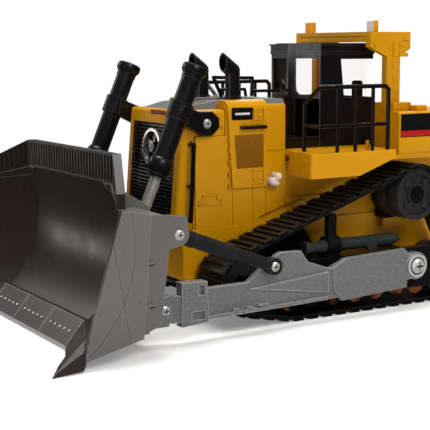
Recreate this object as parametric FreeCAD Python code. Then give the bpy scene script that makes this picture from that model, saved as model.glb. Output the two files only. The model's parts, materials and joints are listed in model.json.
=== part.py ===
# Toy crawler bulldozer, about 1:50, built as an assembly of separate pieces.
#
# The machine faces +X, its left side is +Y and +Z is up. Lengths along X are measured
# from the push-arm trunnion, heights from the ground. On export everything is shifted
# by FRAME_X, so the origin lies on the ground below the middle of the overall length.
import FreeCAD, Part
import math
import os

V = FreeCAD.Vector

# ---- overall frame ---------------------------------------------------------
FRAME_X = 34.0            # trunnion-based X of the origin
NOSE_X = 139.0            # foremost point: tips of the end bits
TAIL_X = 2 * FRAME_X - NOSE_X   # rearmost point: back of the ripper beam

# ---- running gear ----------------------------------------------------------
SPROCKET = (-6.1, 37.7)   # (x, z) of the raised drive sprocket
WHEEL_R = 8.8             # rolling radius of sprocket and idlers
BELT_INNER_R = 9.15       # the belt rings run a little clear of the wheels
BELT_PLATE_R = 9.95       # outside of the shoe plates
GROUSER_R = 10.7          # tips of the grousers
LINKS = 43
FRONT_IDLER = (63.3, 14.0)  # a little higher than the rollers, as on the full-size machine
FRONT_ROLLER = (46.0, GROUSER_R)  # where the belt leaves the ground
REAR_IDLER = (-19.5, GROUSER_R)
TRACK_Y0, TRACK_Y1 = 22.0, 37.4
WHEEL_Y0, WHEEL_Y1 = 25.4, 34.6
PIN_R = 1.5
RUN_GAP = 0.05            # radial running clearance on pins
TRUNNION = (0.0, 14.7)
TRUNNION_R = 3.0

# ---- hull and engine cover -------------------------------------------------
HULL_Y = 19.4
HOOD_Y = 18.9
SILL_Z = 30.0             # ledge between hull and engine cover
HULL_NOSE_X = 77.2
HOOD_X0, HOOD_X1 = 37.5, 72.2
SHOULDER_X, SHOULDER_Z = 60.8, 59.7
HOOD_TOP = 70.1
STACK_Z = 71.0            # foot of the exhausts
DOOR_T = 0.9              # the engine doors stand proud of the hood
HOOD_ROUND = 2.0
CAP_X = 44.8              # the dark rear cap of the hood starts here
WALL = 1.6
GUARD_LEAN = math.tan(math.radians(4.9))   # the radiator guard leans back
GUARD_X = 79.6            # front face of the guard at SILL_Z
GUARD_TOP = 68.1
GUARD_Y = 18.3
WINDOW_Y = 14.8           # half-width of the grille
LOUVRES = 28
FAN_R = 6.1

# ---- cab, platforms, canopy ------------------------------------------------
DECK_Z = 53.9
DECK_T = 1.4
DECK_Y = 36.8
DECK_X0, DECK_X1 = 4.5, 39.4
SKIRT_Z = 45.9
CAB_TOP = 86.6
CAB_ROOF_Z = 89.4
CAB_PLAN = [(26.8, 5.2), (20.0, 14.7), (-2.8, 14.9)]   # front corner to rear corner
CANOPY_X0, CANOPY_X1 = -13.5, 4.2
CANOPY_Y = 22.1
CANOPY_TOP = 93.2
POST_X0, POST_X1 = -9.0, -3.1
POST_Y = 19.3
TANK_Z0, TANK_Z1 = 51.6, 66.0
TANK_X0, TANK_X1 = -34.0, 0.2
TANK_Y = 33.2

# ---- blade -----------------------------------------------------------------
CREASE_Y = 31.3           # fold between the centre and the wings
BLADE_Y = 55.0            # outside of the end plates
PLATE_T = 1.6
WING = math.tan(math.radians(24.0))
MOULD_R = 35.0            # radius of the moldboard's hollow face
MOULD_C = (140.4, 34.0)   # its centre (x, z)
MOULD_T = 2.0
MOULD_Z0, MOULD_Z1 = 8.5, 48.6
EDGE_TIP = (124.0, 1.4)   # foot of the cutting edge
GUARD_Z = 57.2            # top of the slatted rock guard
WING_END_Z = 43.6
ROCK_X0, ROCK_X1 = 105.4, 108.2  # back and front of the slatted guard
ROCK_CREASE_Y = 32.6
ROCK_PITCH, ROCK_SLOT = 2.1, 1.2
SIDE_Y0, SIDE_Y1 = 51.0, 52.6   # rear side panels that carry the braces
BRACE_PIN = (97.2, 35.0)
ARM_PIN = (97.0, 10.9)
ARM_BRACE_PIN = (59.6, 20.9)
ARM_Y0, ARM_Y1 = 40.7, 42.6

# ---- lift cylinders --------------------------------------------------------
LIFT_Y = 22.6
YOKE = (69.0, 64.0)       # screw axis on the radiator guard's shoulder
YOKE_Y0 = GUARD_Y + 0.3   # inner face of the yoke plate
LIFT_TOP = (74.0, 82.3)
LIFT_EYE = (100.2, 21.0)  # pin on the back of the blade, on the cylinder's line
BARREL_L = 37.0
BARREL_R = 3.1
ROD_R = 1.75
BORE_START = 6.0          # blind end of the barrel's bore, from the top
ROD_START = 24.0          # upper end of the rod with the blade on the ground

# ---- ripper ----------------------------------------------------------------
RIP_PIVOT = (-37.5, 18.0)
RIP_BEAM = (-62.0, 20.0)
RIP_UPPER = (-38.0, 39.0)
RIP_EYE = (-57.5, 27.5)
SHANK_Y = 17.0
RIP_BORE_START = 3.0      # blind end of the ripper barrel's bore, from its pin
RIP_ROD_START = 9.6       # upper end of the ripper rod with the beam down


# ---- small tools -----------------------------------------------------------
def box(x0, x1, y0, y1, z0, z1):
    return Part.makeBox(x1 - x0, y1 - y0, z1 - z0, V(x0, y0, z0))


def prism(points, direction):
    """Closed polygon of 3-D points pushed along a vector."""
    ring = [V(*p) for p in points]
    return Part.Face(Part.makePolygon(ring + ring[:1])).extrude(V(*direction))


def side(points, y0, y1):
    """Side-view outline (x, z) between two Y planes."""
    return prism([(x, y0, z) for x, z in points], (0, y1 - y0, 0))


def plan(points, z0, z1):
    """Plan outline (x, y) between two heights."""
    return prism([(x, y, z0) for x, y in points], (0, 0, z1 - z0))


def front(points, x0, x1):
    """Front-view outline (y, z) between two X planes."""
    return prism([(x0, y, z) for y, z in points], (x1 - x0, 0, 0))


def rod(a, b, radius):
    a, b = V(*a), V(*b)
    return Part.makeCylinder(radius, (b - a).Length, a, b - a)


def disc(centre, radius, y0, y1):
    """Round bar along Y at (x, z)."""
    return Part.makeCylinder(radius, y1 - y0, V(centre[0], y0, centre[1]), V(0, 1, 0))


def tube_run(points, radius):
    """Bent round bar through points, with a ball at each bend."""
    parts = [rod(a, b, radius) for a, b in zip(points, points[1:])]
    parts += [Part.makeSphere(radius, V(*p)) for p in points[1:-1]]
    return fuse(parts)


def fuse(shapes):
    return shapes[0].multiFuse(shapes[1:]).removeSplitter() if len(shapes) > 1 else shapes[0]


def cut(shape, tools):
    return shape.cut(Part.makeCompound(tools) if len(tools) > 1 else tools[0])


def cut_each(shape, tools):
    for tool in tools:
        shape = shape.cut(tool)
    return shape


def mirrored(shape):
    return shape.mirror(V(0, 0, 0), V(0, 1, 0))


def both(shape):
    return [shape, mirrored(shape)]


def rounded(shape, radius, wanted):
    """Fillets the edges for which wanted(edge) is true."""
    edges = [e for e in shape.Edges if wanted(e)]
    return shape.makeFillet(radius, edges) if edges else shape


def along(edge, axis, limit=0.99):
    if len(edge.Vertexes) < 2:
        return False
    d = edge.Vertexes[1].Point - edge.Vertexes[0].Point
    return d.Length > 1e-6 and abs(d.normalize().dot(V(*axis))) > limit


def solids_of(shape):
    return shape.Solids


def screw(x, z, y, out, head_r, shaft_r, length):
    """Cross-head screw with its head's underside at y, facing out = +1 or -1 along Y."""
    head_h = 0.42 * head_r
    head = Part.makeCone(head_r, 0.72 * head_r, head_h, V(x, y, z), V(0, out, 0))
    shaft = Part.makeCylinder(shaft_r, length, V(x, y, z), V(0, -out, 0))
    slot = 0.24 * head_r
    reach = 0.6 * head_r
    top = y + out * head_h
    y0, y1 = sorted((top - out * 0.55 * head_h, top + out))
    cross = [box(x - reach, x + reach, y0, y1, z - slot / 2, z + slot / 2),
             box(x - slot / 2, x + slot / 2, y0, y1, z - reach, z + reach)]
    return cut_each(fuse([head, shaft]), cross)


# ---- tracks ----------------------------------------------------------------
def tangent(a, b, radius):
    """Outer tangent from wheel a to wheel b, which have one radius, going round clockwise."""
    dx, dz = b[0] - a[0], b[1] - a[1]
    length = math.hypot(dx, dz)
    nx, nz = -dz / length * radius, dx / length * radius
    return (a[0] + nx, a[1] + nz), (b[0] + nx, b[1] + nz)


def loop_runs(radius):
    """Straight runs of a belt from wheel to wheel, clockwise, and the wheel each run ends on."""
    wheels = [REAR_IDLER, SPROCKET, FRONT_IDLER, FRONT_ROLLER]
    return [tangent(a, b, radius) for a, b in zip(wheels, wheels[1:] + wheels[:1])], wheels[1:] + wheels[:1]


def loop_point(share, radius):
    """Point of the belt at a share of its length, at a distance from the wheels' centres."""
    middle = (BELT_INNER_R + BELT_PLATE_R) / 2
    runs, wheels = loop_runs(middle)
    lengths = [math.dist(*run) for run in runs]
    starts = [math.atan2(run[1][1] - w[1], run[1][0] - w[0]) for run, w in zip(runs, wheels)]
    ends = [math.atan2(nxt[0][1] - w[1], nxt[0][0] - w[0])
            for nxt, w in zip(runs[1:] + runs[:1], wheels)]
    turns = [(s - e) % (2 * math.pi) for s, e in zip(starts, ends)]
    left = (share % 1) * (sum(lengths) + middle * sum(turns))
    for (a, b), length, wheel, start, turn in zip(runs, lengths, wheels, starts, turns):
        ux, uz = (b[0] - a[0]) / length, (b[1] - a[1]) / length
        if left <= length:
            lift = radius - middle
            return a[0] + ux * left - uz * lift, a[1] + uz * left + ux * lift
        left -= length
        if left <= middle * turn:
            angle = start - left / middle
            return wheel[0] + radius * math.cos(angle), wheel[1] + radius * math.sin(angle)
        left -= middle * turn
    return loop_point(0, radius)


def shoe_pocket(link):
    """Sunk middle of one shoe, which leaves a rounded ring of two grousers and their ends."""
    shares = ((0.345, GROUSER_R + 1), (0.345, BELT_PLATE_R), (0.655, BELT_PLATE_R), (0.655, GROUSER_R + 1))
    return side([loop_point((link + part) / LINKS, radius) for part, radius in shares],
                TRACK_Y0 + 1.5, TRACK_Y1 - 1.5)


def track():
    """Left track: one closed belt, on every shoe a ring of two equal grousers."""
    outline = []
    for link in range(LINKS):
        for part, radius in ((0.01, BELT_PLATE_R - 0.25), (0.06, BELT_PLATE_R), (0.17, BELT_PLATE_R),
                             (0.20, GROUSER_R), (0.80, GROUSER_R), (0.83, BELT_PLATE_R),
                             (0.94, BELT_PLATE_R)):
            outline.append(loop_point((link + part) / LINKS, radius))
    outer = side(outline, TRACK_Y0, TRACK_Y1)
    runs, wheels = loop_runs(BELT_INNER_R)
    core = side([p for run in runs for p in run], TRACK_Y0, TRACK_Y1)
    hollow = fuse([core] + [disc(w, BELT_INNER_R, TRACK_Y0, TRACK_Y1) for w in wheels])
    return outer.cut(hollow).cut(Part.makeCompound([shoe_pocket(link) for link in range(LINKS)]))


def sprocket():
    """Dished drive wheel: rim, web with four bolt bosses, open hub and a bore for its pin."""
    x, z = SPROCKET
    rim = disc(SPROCKET, WHEEL_R, WHEEL_Y1 - 2.6, WHEEL_Y1 + 1.2)
    drum = disc(SPROCKET, 7.6, WHEEL_Y0 + 2.4, WHEEL_Y1)
    back = disc(SPROCKET, WHEEL_R, WHEEL_Y0, WHEEL_Y0 + 2.6)
    body = fuse([rim, drum, back])
    body = cut_each(body, [disc(SPROCKET, 7.4, WHEEL_Y1 - 0.2, WHEEL_Y1 + 2)])
    hub = disc(SPROCKET, 3.6, WHEEL_Y1 - 0.4, WHEEL_Y1 + 1.0)
    spokes = []
    for k in range(4):
        a = math.radians(45 + 90 * k)
        spokes.append(disc((x + 5.6 * math.cos(a), z + 5.6 * math.sin(a)), 1.15,
                           WHEEL_Y1 - 0.4, WHEEL_Y1 + 0.8))
    body = fuse([body, hub] + spokes)
    body = cut_each(body, [disc(SPROCKET, 2.5, WHEEL_Y1 - 1.2, WHEEL_Y1 + 2)])
    return body.cut(disc(SPROCKET, PIN_R + RUN_GAP, WHEEL_Y0 - 1, WHEEL_Y1 + 2))


def idler(centre):
    """Track idler with a groove for the belt's guide and a raised hub."""
    body = disc(centre, WHEEL_R, WHEEL_Y0, WHEEL_Y1)
    groove = disc(centre, WHEEL_R + 1, 28.6, 31.4).cut(disc(centre, 7.6, 28, 32))
    dish = disc(centre, 7.2, WHEEL_Y1 - 0.9, WHEEL_Y1 + 1).cut(disc(centre, 2.9, 30, 40))
    body = cut_each(body, [groove, dish])
    return body.cut(disc(centre, PIN_R + RUN_GAP, WHEEL_Y0 - 1, WHEEL_Y1 + 1))


def axle_pins():
    """Steel pins that carry sprockets and idlers, left and right."""
    pins = [disc(SPROCKET, PIN_R, 20.0, WHEEL_Y1 - 1.4)]
    for centre in (FRONT_IDLER, REAR_IDLER):
        pins.append(disc(centre, PIN_R, 22.4, 36.6))
    return [p for pin in pins for p in both(pin)]


def track_frame():
    """Left roller frame: a deep beam, fork plates for the idlers and the trunnion boss."""
    beam = side([(-8, 7.5), (51.5, 7.5), (51.5, 15), (44, 19.2), (-3, 19.2), (-8, 15)], 25.2, 34.8)
    parts = [beam]
    for y0, y1 in ((23.0, 25.2), (34.8, 36.4)):
        parts.append(side([(-22.5, 7.7), (48.0, 8.4), (66.4, 10.9), (66.4, 17.1), (48.0, 15.6),
                           (-10.0, 15.6), (-22.5, 13.8)], y0, y1))
    parts.append(side([(-14, 6.4), (6, 6.4), (6, 20.3), (-10, 20.3), (-14, 17)], 36.4, 39.6))
    parts.append(disc(TRUNNION, 5.0, 39.6, 40.4))
    parts.append(disc(TRUNNION, TRUNNION_R, 40.4, 43.9))
    saddle = [box(25.8, 31.6, 28.8, 34.8, 19.2, 20.0)]
    strut = side([(26.7, 25.2), (29.9, 25.2), (29.9, 32.0), (28.8, 33.6), (27.4, 33.6), (26.7, 32.4)],
                 31.2, 33.6)
    collar = Part.makeCylinder(3.3, 5.2, V(25.4, 32.0, 22.6), V(1, 0, 0))
    frame = fuse(parts + saddle + [collar, strut])
    frame = frame.cut(Part.makeCylinder(2.2, 60, V(-10, 32.0, 22.6), V(1, 0, 0)))
    holes = [disc(c, PIN_R + RUN_GAP, 20, 40) for c in (FRONT_IDLER, REAR_IDLER)]
    holes.append(disc(TRUNNION, 1.25, 38.0, 46.0))
    return cut_each(frame, holes)


def recoil_tube():
    """Grey recoil cylinder lying on the frame, with a stepped nose and a tapered tail."""
    x0, x1, y, z, r = -1.0, 33.0, 32.0, 22.6, 2.15
    parts = [Part.makeCylinder(r, x1 - x0 - 3, V(x0 + 3, y, z), V(1, 0, 0)),
             Part.makeCone(1.0, r, 3, V(x0, y, z), V(1, 0, 0)),
             Part.makeCylinder(r - 0.35, 4.6, V(x1, y, z), V(1, 0, 0)),
             Part.makeCylinder(r, 1.4, V(x1 + 4.6, y, z), V(1, 0, 0))]
    tube = fuse(parts)
    plug = disc((12.5, 21.6), 2.0, 33.4, 34.8)
    return fuse([tube, plug])


def roller_strips():
    """Moulded bottom rollers in one strip per side."""
    strips = []
    for k in range(7):
        x = -7.9 + 8.9 * k
        strips.append(disc((x, 6.0), 3.3, 26.0, 34.0))
    web = box(-9.5, 47.0, 27.5, 32.5, 5.0, 7.4)
    strip = fuse([web] + strips).common(box(-30, 90, 20, 40, 2.4, 7.45))
    return both(strip)


def final_drive():
    """Left final-drive case between hull and sprocket."""
    x, z = SPROCKET
    parts = [disc(SPROCKET, 7.2, HULL_Y, 22.4), disc(SPROCKET, 8.0, 22.4, WHEEL_Y0 - 0.3),
             box(x - 4.6, x + 5.0, HULL_Y, WHEEL_Y0 - 1.0, z - 9.2, z - 3)]
    case = fuse(parts)
    return case.cut(disc(SPROCKET, PIN_R + RUN_GAP, 10, 40))


# ---- hull, hood and radiator ----------------------------------------------
def hull():
    """Main casting between the tracks, open below for the belly plate."""
    lower = side([(-35, 14), (-31, 9.6), (68, 9.6), (HULL_NOSE_X, 14.5), (HULL_NOSE_X, SILL_Z - 1.2),
                  (GUARD_X, SILL_Z), (-35, SILL_Z)], -HULL_Y, HULL_Y)
    upper = box(-33.0, HOOD_X0 - 0.1, -18.4, 18.4, SILL_Z, TANK_Z0 - DECK_T - 0.1)
    ledge = side([(-33, 36), (40, 36), (40, 38), (-33, 38)], -HULL_Y, HULL_Y)
    ledge = ledge.common(box(-33, HOOD_X0 - 0.1, -30, 30, 30, 60))
    drive_step = box(SPROCKET[0] - 3.9, SPROCKET[0] + 3.4, HULL_Y - 0.5, 22.0, 25.0, 28.0)
    body = fuse([lower, upper, ledge] + both(drive_step))
    cavity = box(-31, 70, -HULL_Y + 2, HULL_Y - 2, 5, SILL_Z - 2)
    upper_cavity = box(-30, 34, -16, 16, 20, 47)
    body = cut_each(body, [cavity, upper_cavity])
    bores = [disc(SPROCKET, PIN_R + RUN_GAP, -30, 30)]
    return cut_each(body, bores)


def belly_plate():
    """Flat bottom cover let into the hull, with four screw holes."""
    plate = box(-30.8, 69.8, -HULL_Y + 2.2, HULL_Y - 2.2, 9.6, 11.2)
    holes = [Part.makeCylinder(1.1, 6, V(x, y, 7)) for x, y in belly_holes()]
    return cut_each(plate, holes)


def belly_holes():
    return [(x, y) for x in (-22.0, 60.0) for y in (-12.0, 12.0)]


def guard_front(z, inset=0.0):
    """X of the leaning front face at a height."""
    return GUARD_X - inset - GUARD_LEAN * (z - SILL_Z)


def radiator_guard():
    """Front frame round the grille, with the shoulder that carries the lift yokes."""
    outline = [(HOOD_X1 + 0.1, SILL_Z), (GUARD_X, SILL_Z), (guard_front(GUARD_TOP), GUARD_TOP),
               (SHOULDER_X + 0.1, GUARD_TOP), (SHOULDER_X + 0.1, SHOULDER_Z + 0.1),
               (HOOD_X1 + 0.1, SHOULDER_Z + 0.1)]
    body = side(outline, -GUARD_Y, GUARD_Y)
    body = rounded(body, 1.5, lambda e: along(e, (-GUARD_LEAN, 0, 1), 0.999)
                   and e.BoundBox.XMin > 75 and e.BoundBox.ZLength > 20)
    body = rounded(body, 1.2, lambda e: e.BoundBox.ZMin > GUARD_TOP - 0.01
                   and e.BoundBox.XMin > SHOULDER_X + 0.2)
    window = side([(guard_front(SILL_Z - 2, 2.6), SILL_Z - 2), (GUARD_X + 9, SILL_Z - 2),
                   (GUARD_X + 9, 63.6), (guard_front(63.6, 2.6), 63.6)], -WINDOW_Y, WINDOW_Y)
    inner = box(SHOULDER_X - 1, 73.4, -16.4, 16.4, SILL_Z - 1, 66.6)
    grooves = [box(72.9, 74.0, y0, y1, SILL_Z, SHOULDER_Z - 1.2)
               for y0, y1 in ((GUARD_Y - 0.7, 30), (-30, -GUARD_Y + 0.7))]
    body = cut_each(body, [window, inner] + grooves)
    bores = [disc(YOKE, 1.06, 10, 30), disc(YOKE, 1.06, -30, -10)]
    return cut_each(body, bores)


def radiator_grille():
    """Black insert with horizontal louvres, filling the guard's window."""
    z0, z1, half = SILL_Z + 0.1, 63.5, WINDOW_Y - 0.1
    back = side([(guard_front(z0, 2.5), z0), (guard_front(z0, 1.5), z0),
                 (guard_front(z1, 1.5), z1), (guard_front(z1, 2.5), z1)], -half, half)
    louvres = []
    pitch = (z1 - z0) / LOUVRES
    for k in range(LOUVRES):
        z = z0 + pitch * k + 0.15
        louvres.append(side([(guard_front(z, 1.6), z), (guard_front(z, -0.1), z + 0.12),
                             (guard_front(z, -0.1), z + 0.5), (guard_front(z, 1.6), z + 0.75)],
                            -half, half))
    grille = fuse([back] + louvres)
    return grille.cut(fan_axis_disc(FAN_R + 0.1, -1.1, 3.0))


def fan_axis_disc(radius, start, length):
    """Round bar square to the leaning grille, at the fan's centre."""
    z = 55.6
    lean = math.atan(GUARD_LEAN)
    normal = V(math.cos(lean), 0, math.sin(lean))
    base = V(guard_front(z), 0, z)
    return Part.makeCylinder(radius, length, base + normal * start, normal)


def cooling_fan():
    """Chrome fan boss: ring, hub and five swept blades in one moulding."""
    ring = fan_axis_disc(FAN_R, -1.0, 1.9).cut(fan_axis_disc(FAN_R - 0.9, -0.7, 3))
    hub = fan_axis_disc(1.7, -0.8, 1.4)
    z = 55.6
    lean = math.degrees(math.atan(GUARD_LEAN))
    blades = []
    for k in range(5):
        blade = prism([(0, -0.5, 1.2), (0, 1.0, 1.6), (0, 2.3, 5.3), (0, 0.2, 5.3)], (0.7, 0, 0))
        blade.rotate(V(0, 0, 0), V(1, 0, 0), 72 * k)
        blade.rotate(V(0, 0, 0), V(0, 1, 0), -lean)
        normal = V(math.cos(math.radians(lean)), 0, math.sin(math.radians(lean)))
        blade.translate(V(guard_front(z), 0, z) - normal * 0.75)
        blades.append(blade)
    return fuse([ring, hub] + blades)


def engine_hood():
    """Yellow engine cover: a shell open below, with rounded top edges."""
    outline = [(HOOD_X0, SILL_Z), (HOOD_X1, SILL_Z), (HOOD_X1, SHOULDER_Z),
               (SHOULDER_X, SHOULDER_Z), (SHOULDER_X, HOOD_TOP), (HOOD_X0, HOOD_TOP)]
    body = side(outline, -HOOD_Y, HOOD_Y)
    body = rounded(body, HOOD_ROUND, lambda e: along(e, (1, 0, 0)) and e.BoundBox.ZMin > 70)
    cavity = box(HOOD_X0 + 1.5, SHOULDER_X - 1.4, -HOOD_Y + 1.8, HOOD_Y - 1.8, 20, HOOD_TOP - 1.6)
    nose = box(SHOULDER_X - 2, HOOD_X1 - 1.5, -HOOD_Y + 1.8, HOOD_Y - 1.8, 20, SHOULDER_Z - 1.5)
    lines = []
    for s in (1, -1):
        y0, y1 = sorted((s * (HOOD_Y - 0.35), s * 30))
        lines.append(box(CAP_X + 0.2, CAP_X + 0.5, y0, y1, SILL_Z, HOOD_TOP - 2.2))
        lines.append(box(HOOD_X0 - 1, CAP_X + 0.3, y0, y1, 53.9, 54.2))
        lines.append(box(50.2, 50.5, y0, y1, SILL_Z, 41.8))
        lines.append(box(58.1, 58.4, y0, y1, SILL_Z, 41.8))
    return cut_each(body, [cavity, nose] + lines)


def engine_door():
    """Left engine door: a proud panel that wraps over the hood's edge, with a sunk mesh window."""
    arc_y, arc_z = HOOD_Y - HOOD_ROUND, HOOD_TOP - HOOD_ROUND
    def corner(radius):
        """Quarter circle from the side round to the top, at the door's rear end."""
        return [V(CAP_X + 0.4, arc_y + radius * math.cos(a), arc_z + radius * math.sin(a))
                for a in (0, math.pi / 4, math.pi / 2)]
    out, inn = corner(HOOD_ROUND + DOOR_T), corner(HOOD_ROUND + 0.02)
    low_out, low_in = V(out[0].x, out[0].y, 42.5), V(inn[0].x, inn[0].y, 42.5)
    top_out, top_in = V(out[2].x, 14.0, out[2].z), V(inn[2].x, 14.0, inn[2].z)
    edges = [Part.makeLine(low_in, low_out), Part.makeLine(low_out, out[0]), Part.Arc(*out).toShape(),
             Part.makeLine(out[2], top_out), Part.makeLine(top_out, top_in),
             Part.makeLine(top_in, inn[2]), Part.Arc(*inn[::-1]).toShape(),
             Part.makeLine(inn[0], low_in)]
    panel = Part.Face(Part.Wire(edges)).extrude(V(16, 0, 0))
    panel = panel.cut(side([(58.5, 40), (60.6, 69.4), (60.6, 80), (80, 80), (80, 40)], 0, 40))
    window = side([(46.7, 48.8), (57.2, 48.8), (58.1, 59.9), (46.4, 59.9)], HOOD_Y + 0.5, 30)
    return panel.cut(window)


def grab_rails():
    """Long upright grab bars beside the radiator and short handles on the engine doors."""
    y, r = 20.9, 0.75
    flank = GUARD_Y + 0.05
    long_bar = tube_run([(73.9, flank, 57.5), (73.9, y, 57.5), (75.2, y, 33.2), (75.2, flank, 33.2)], r)
    peg = rod((74.6, flank, 44.0), (74.6, y, 44.0), 0.65)
    long_bar = fuse([long_bar, peg])
    proud = HOOD_Y + DOOR_T + 0.05
    short = tube_run([(55.4, proud, 62.2), (55.4, 21.2, 62.2), (46.8, 21.2, 62.2),
                      (46.8, proud, 62.2)], 0.6)
    return both(long_bar) + both(short)


def hood_cover():
    """Grey bonnet top: a low hip-roofed panel, a wide rear cap and intake slots at the front."""
    half0, half1, x0, x1 = 13.6, 12.2, HOOD_X0 + 0.1, 73.0
    z0, z1 = GUARD_TOP, HOOD_TOP + 0.9
    body = front([(-half0, z0), (half0, z0), (half1, z1), (-half1, z1)], x0, x1)
    slope = prism([(x1 + 1, -20, z0), (x1 + 1, -20, z1 + 1), (x0 - 1, -20, z1 + 1),
                   (x0 - 1, -20, z1 - 0.05), (SHOULDER_X, -20, z1 - 0.35), (x1 - 5.5, -20, z0 + 1.7),
                   (x1, -20, z0 + 0.1)], (0, 40, 0))
    below = box(x0 - 1, SHOULDER_X + 0.05, -30, 30, z0 - 1, HOOD_TOP + 0.02)
    cap = front([(-HOOD_Y + 0.2, HOOD_TOP - 1.3), (-HOOD_Y + 1.4, z1 + 0.1), (HOOD_Y - 1.4, z1 + 0.1),
                 (HOOD_Y - 0.2, HOOD_TOP - 1.3)], x0, CAP_X)
    cap = cap.cut(engine_hood())
    body = cut_each(body, [slope, below])
    rib = box(46.5, 66, -3.2, 3.2, z1 - 0.8, z1 + 0.3)
    slots = [box(62.0 + 1.6 * k, 62.8 + 1.6 * k, y0, y0 + 5.4, z1 - 0.9, z1 + 1)
             for k in range(3) for y0 in (-10.4, 5.0)]
    body = fuse([body, cap, rib])
    return cut_each(body, slots)


def exhaust_stack(y):
    """Upright exhaust with a forward-leaning outlet cut off square to the front."""
    x, bend, r = 52.7, 80.4, 2.5
    tilt = math.radians(37)
    reach = 12
    up = Part.makeCylinder(r, bend - STACK_Z, V(x, y, STACK_Z))
    end = (x + reach * math.cos(tilt), y, bend + reach * math.sin(tilt))
    pipe = rod((x, y, bend), end, r)
    pipe = pipe.cut(box(56.4, 80, -30, 30, 60, 110))
    body = fuse([up, Part.makeSphere(r, V(x, y, bend)), pipe])
    bore = rod((x + 1.0, y, bend + math.tan(tilt)), end, r - 0.45)
    foot = Part.makeCylinder(3.0, 0.8, V(x, y, STACK_Z))
    return fuse([body.cut(bore), foot])


def hood_rail():
    """Bent-wire hand rail on the middle of the hood: a tall hoop, a low hoop and a bar to the cab."""
    r, z = 0.62, STACK_Z + 0.25
    tall = tube_run([(50.7, 0, z), (54.0, 0, 78.0), (38.3, 0, 77.6), (38.6, 0, z)], r)
    low = tube_run([(52.9, 0, z), (52.9, 0, 73.8), (41.4, 0, 73.8), (40.9, 0, z)], r - 0.08)
    tail = rod((38.4, 0, 73.1), (CAB_PLAN[0][0] + 0.1, 0, 73.0), r - 0.08)
    rail = fuse([tall, low, tail])
    return rail.common(box(0, 99, -9, 9, STACK_Z + 0.32, 99))


# ---- cab -------------------------------------------------------------------
def cab_ring(offset=0.0):
    """Full plan outline of the cab, grown outward by offset."""
    (x0, y0), (x1, y1), (x2, y2) = CAB_PLAN
    half = [(x0 + offset, y0 + 0.55 * offset), (x1 + 0.5 * offset, y1 + offset),
            (x2 - offset, y2 + offset)]
    return half + [(x, -y) for x, y in reversed(half)]


def cab_door_cut(z0, z1, chamfer=0.0):
    """Window opening through the slanted door faces, left side."""
    (x0, y0), (x1, y1), _ = CAB_PLAN
    length = math.hypot(x1 - x0, y1 - y0)
    ux, uy = (x1 - x0) / length, (y1 - y0) / length
    def at(s, z):
        return (x0 + ux * s, y0 + uy * s, z)
    a, b = 2.4, length - 0.3
    c = chamfer
    ring = [at(a + c, z0), at(b - c, z0), at(b, z0 + c), at(b, z1), at(a, z1), at(a, z0 + c)]
    if c == 0:
        ring = [at(a, z0), at(b, z0), at(b, z1), at(a, z1)]
    opening = prism(ring, (8 * uy, -8 * ux, 0))
    opening.translate(V(-4 * uy, 4 * ux, 0))
    return opening


CAB_WALL = 1.3


def cab_shell():
    """Black cab: floor, six-sided walls, window openings and a plinth that reaches the engine cover."""
    z0 = DECK_Z
    body = plan(cab_ring(), z0, CAB_TOP)
    room = plan(cab_ring(-CAB_WALL), z0 + 1.2, CAB_TOP + 1)
    openings = [box(20, 40, -4.1, 4.1, 73.0, 84.2)]
    for left in (cab_door_cut(71.6, 84.2, 1.6), cab_door_cut(56.0, 70.4)):
        openings += both(left)
    side_window = side([(-8, 70.6), (9.8, 70.6), (11.3, 83.9), (-8, 83.9)], 12, 20)
    openings += both(side_window)
    openings.append(box(-8, 0, -13, 13, 70.6, 83.9))
    header = plan(cab_ring(0.35), CAB_TOP - 1.0, CAB_TOP).cut(plan(cab_ring(-0.2), CAB_TOP - 2, CAB_TOP + 1))
    plinth = box(18, HOOD_X0 - 0.1, -14.6, 14.6, z0, z0 + 3.6)
    plinth = plinth.cut(plan(cab_ring(-0.3), z0 - 1, z0 + 5))
    return fuse([cut_each(body, [room] + openings), header, plinth])


def cab_roof():
    """Black roof panel that overhangs the walls, with a shallow raised field."""
    slab = plan(cab_ring(0.25), CAB_TOP, CAB_ROOF_Z - 0.9)
    lip = plan(cab_ring(0.75), CAB_ROOF_Z - 0.9, CAB_ROOF_Z - 0.3)
    field = plan(cab_ring(-1.4), CAB_ROOF_Z - 0.3, CAB_ROOF_Z)
    return fuse([slab, lip, field])


def cab_glazing():
    """Clear liner inside the cab walls: one folded sheet with a pane behind each opening."""
    outer = plan(cab_ring(-CAB_WALL - 0.03), 55.4, 85.4)
    inner = plan(cab_ring(-CAB_WALL - 0.43), 55.0, 86.0)
    return outer.cut(inner)


def operator_seat():
    """Driver's seat: pedestal, cushion, back and headrest, with two armrests."""
    z = DECK_Z + 1.2
    seat = [box(3.5, 8.5, -3, 3, z, z + 3.4), box(2.5, 10.5, -4, 4, z + 3.4, z + 6.0)]
    seat.append(side([(2.5, z + 6.0), (4.8, z + 6.0), (3.2, z + 16), (1.2, z + 16)], -3.6, 3.6))
    seat.append(side([(1.5, z + 16.0), (3.1, z + 16), (2.7, z + 19), (1.3, z + 19)], -2.0, 2.0))
    seat += both(box(3.8, 9.6, 3.4, 4.6, z + 5.6, z + 8.6))
    return fuse(seat)


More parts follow.
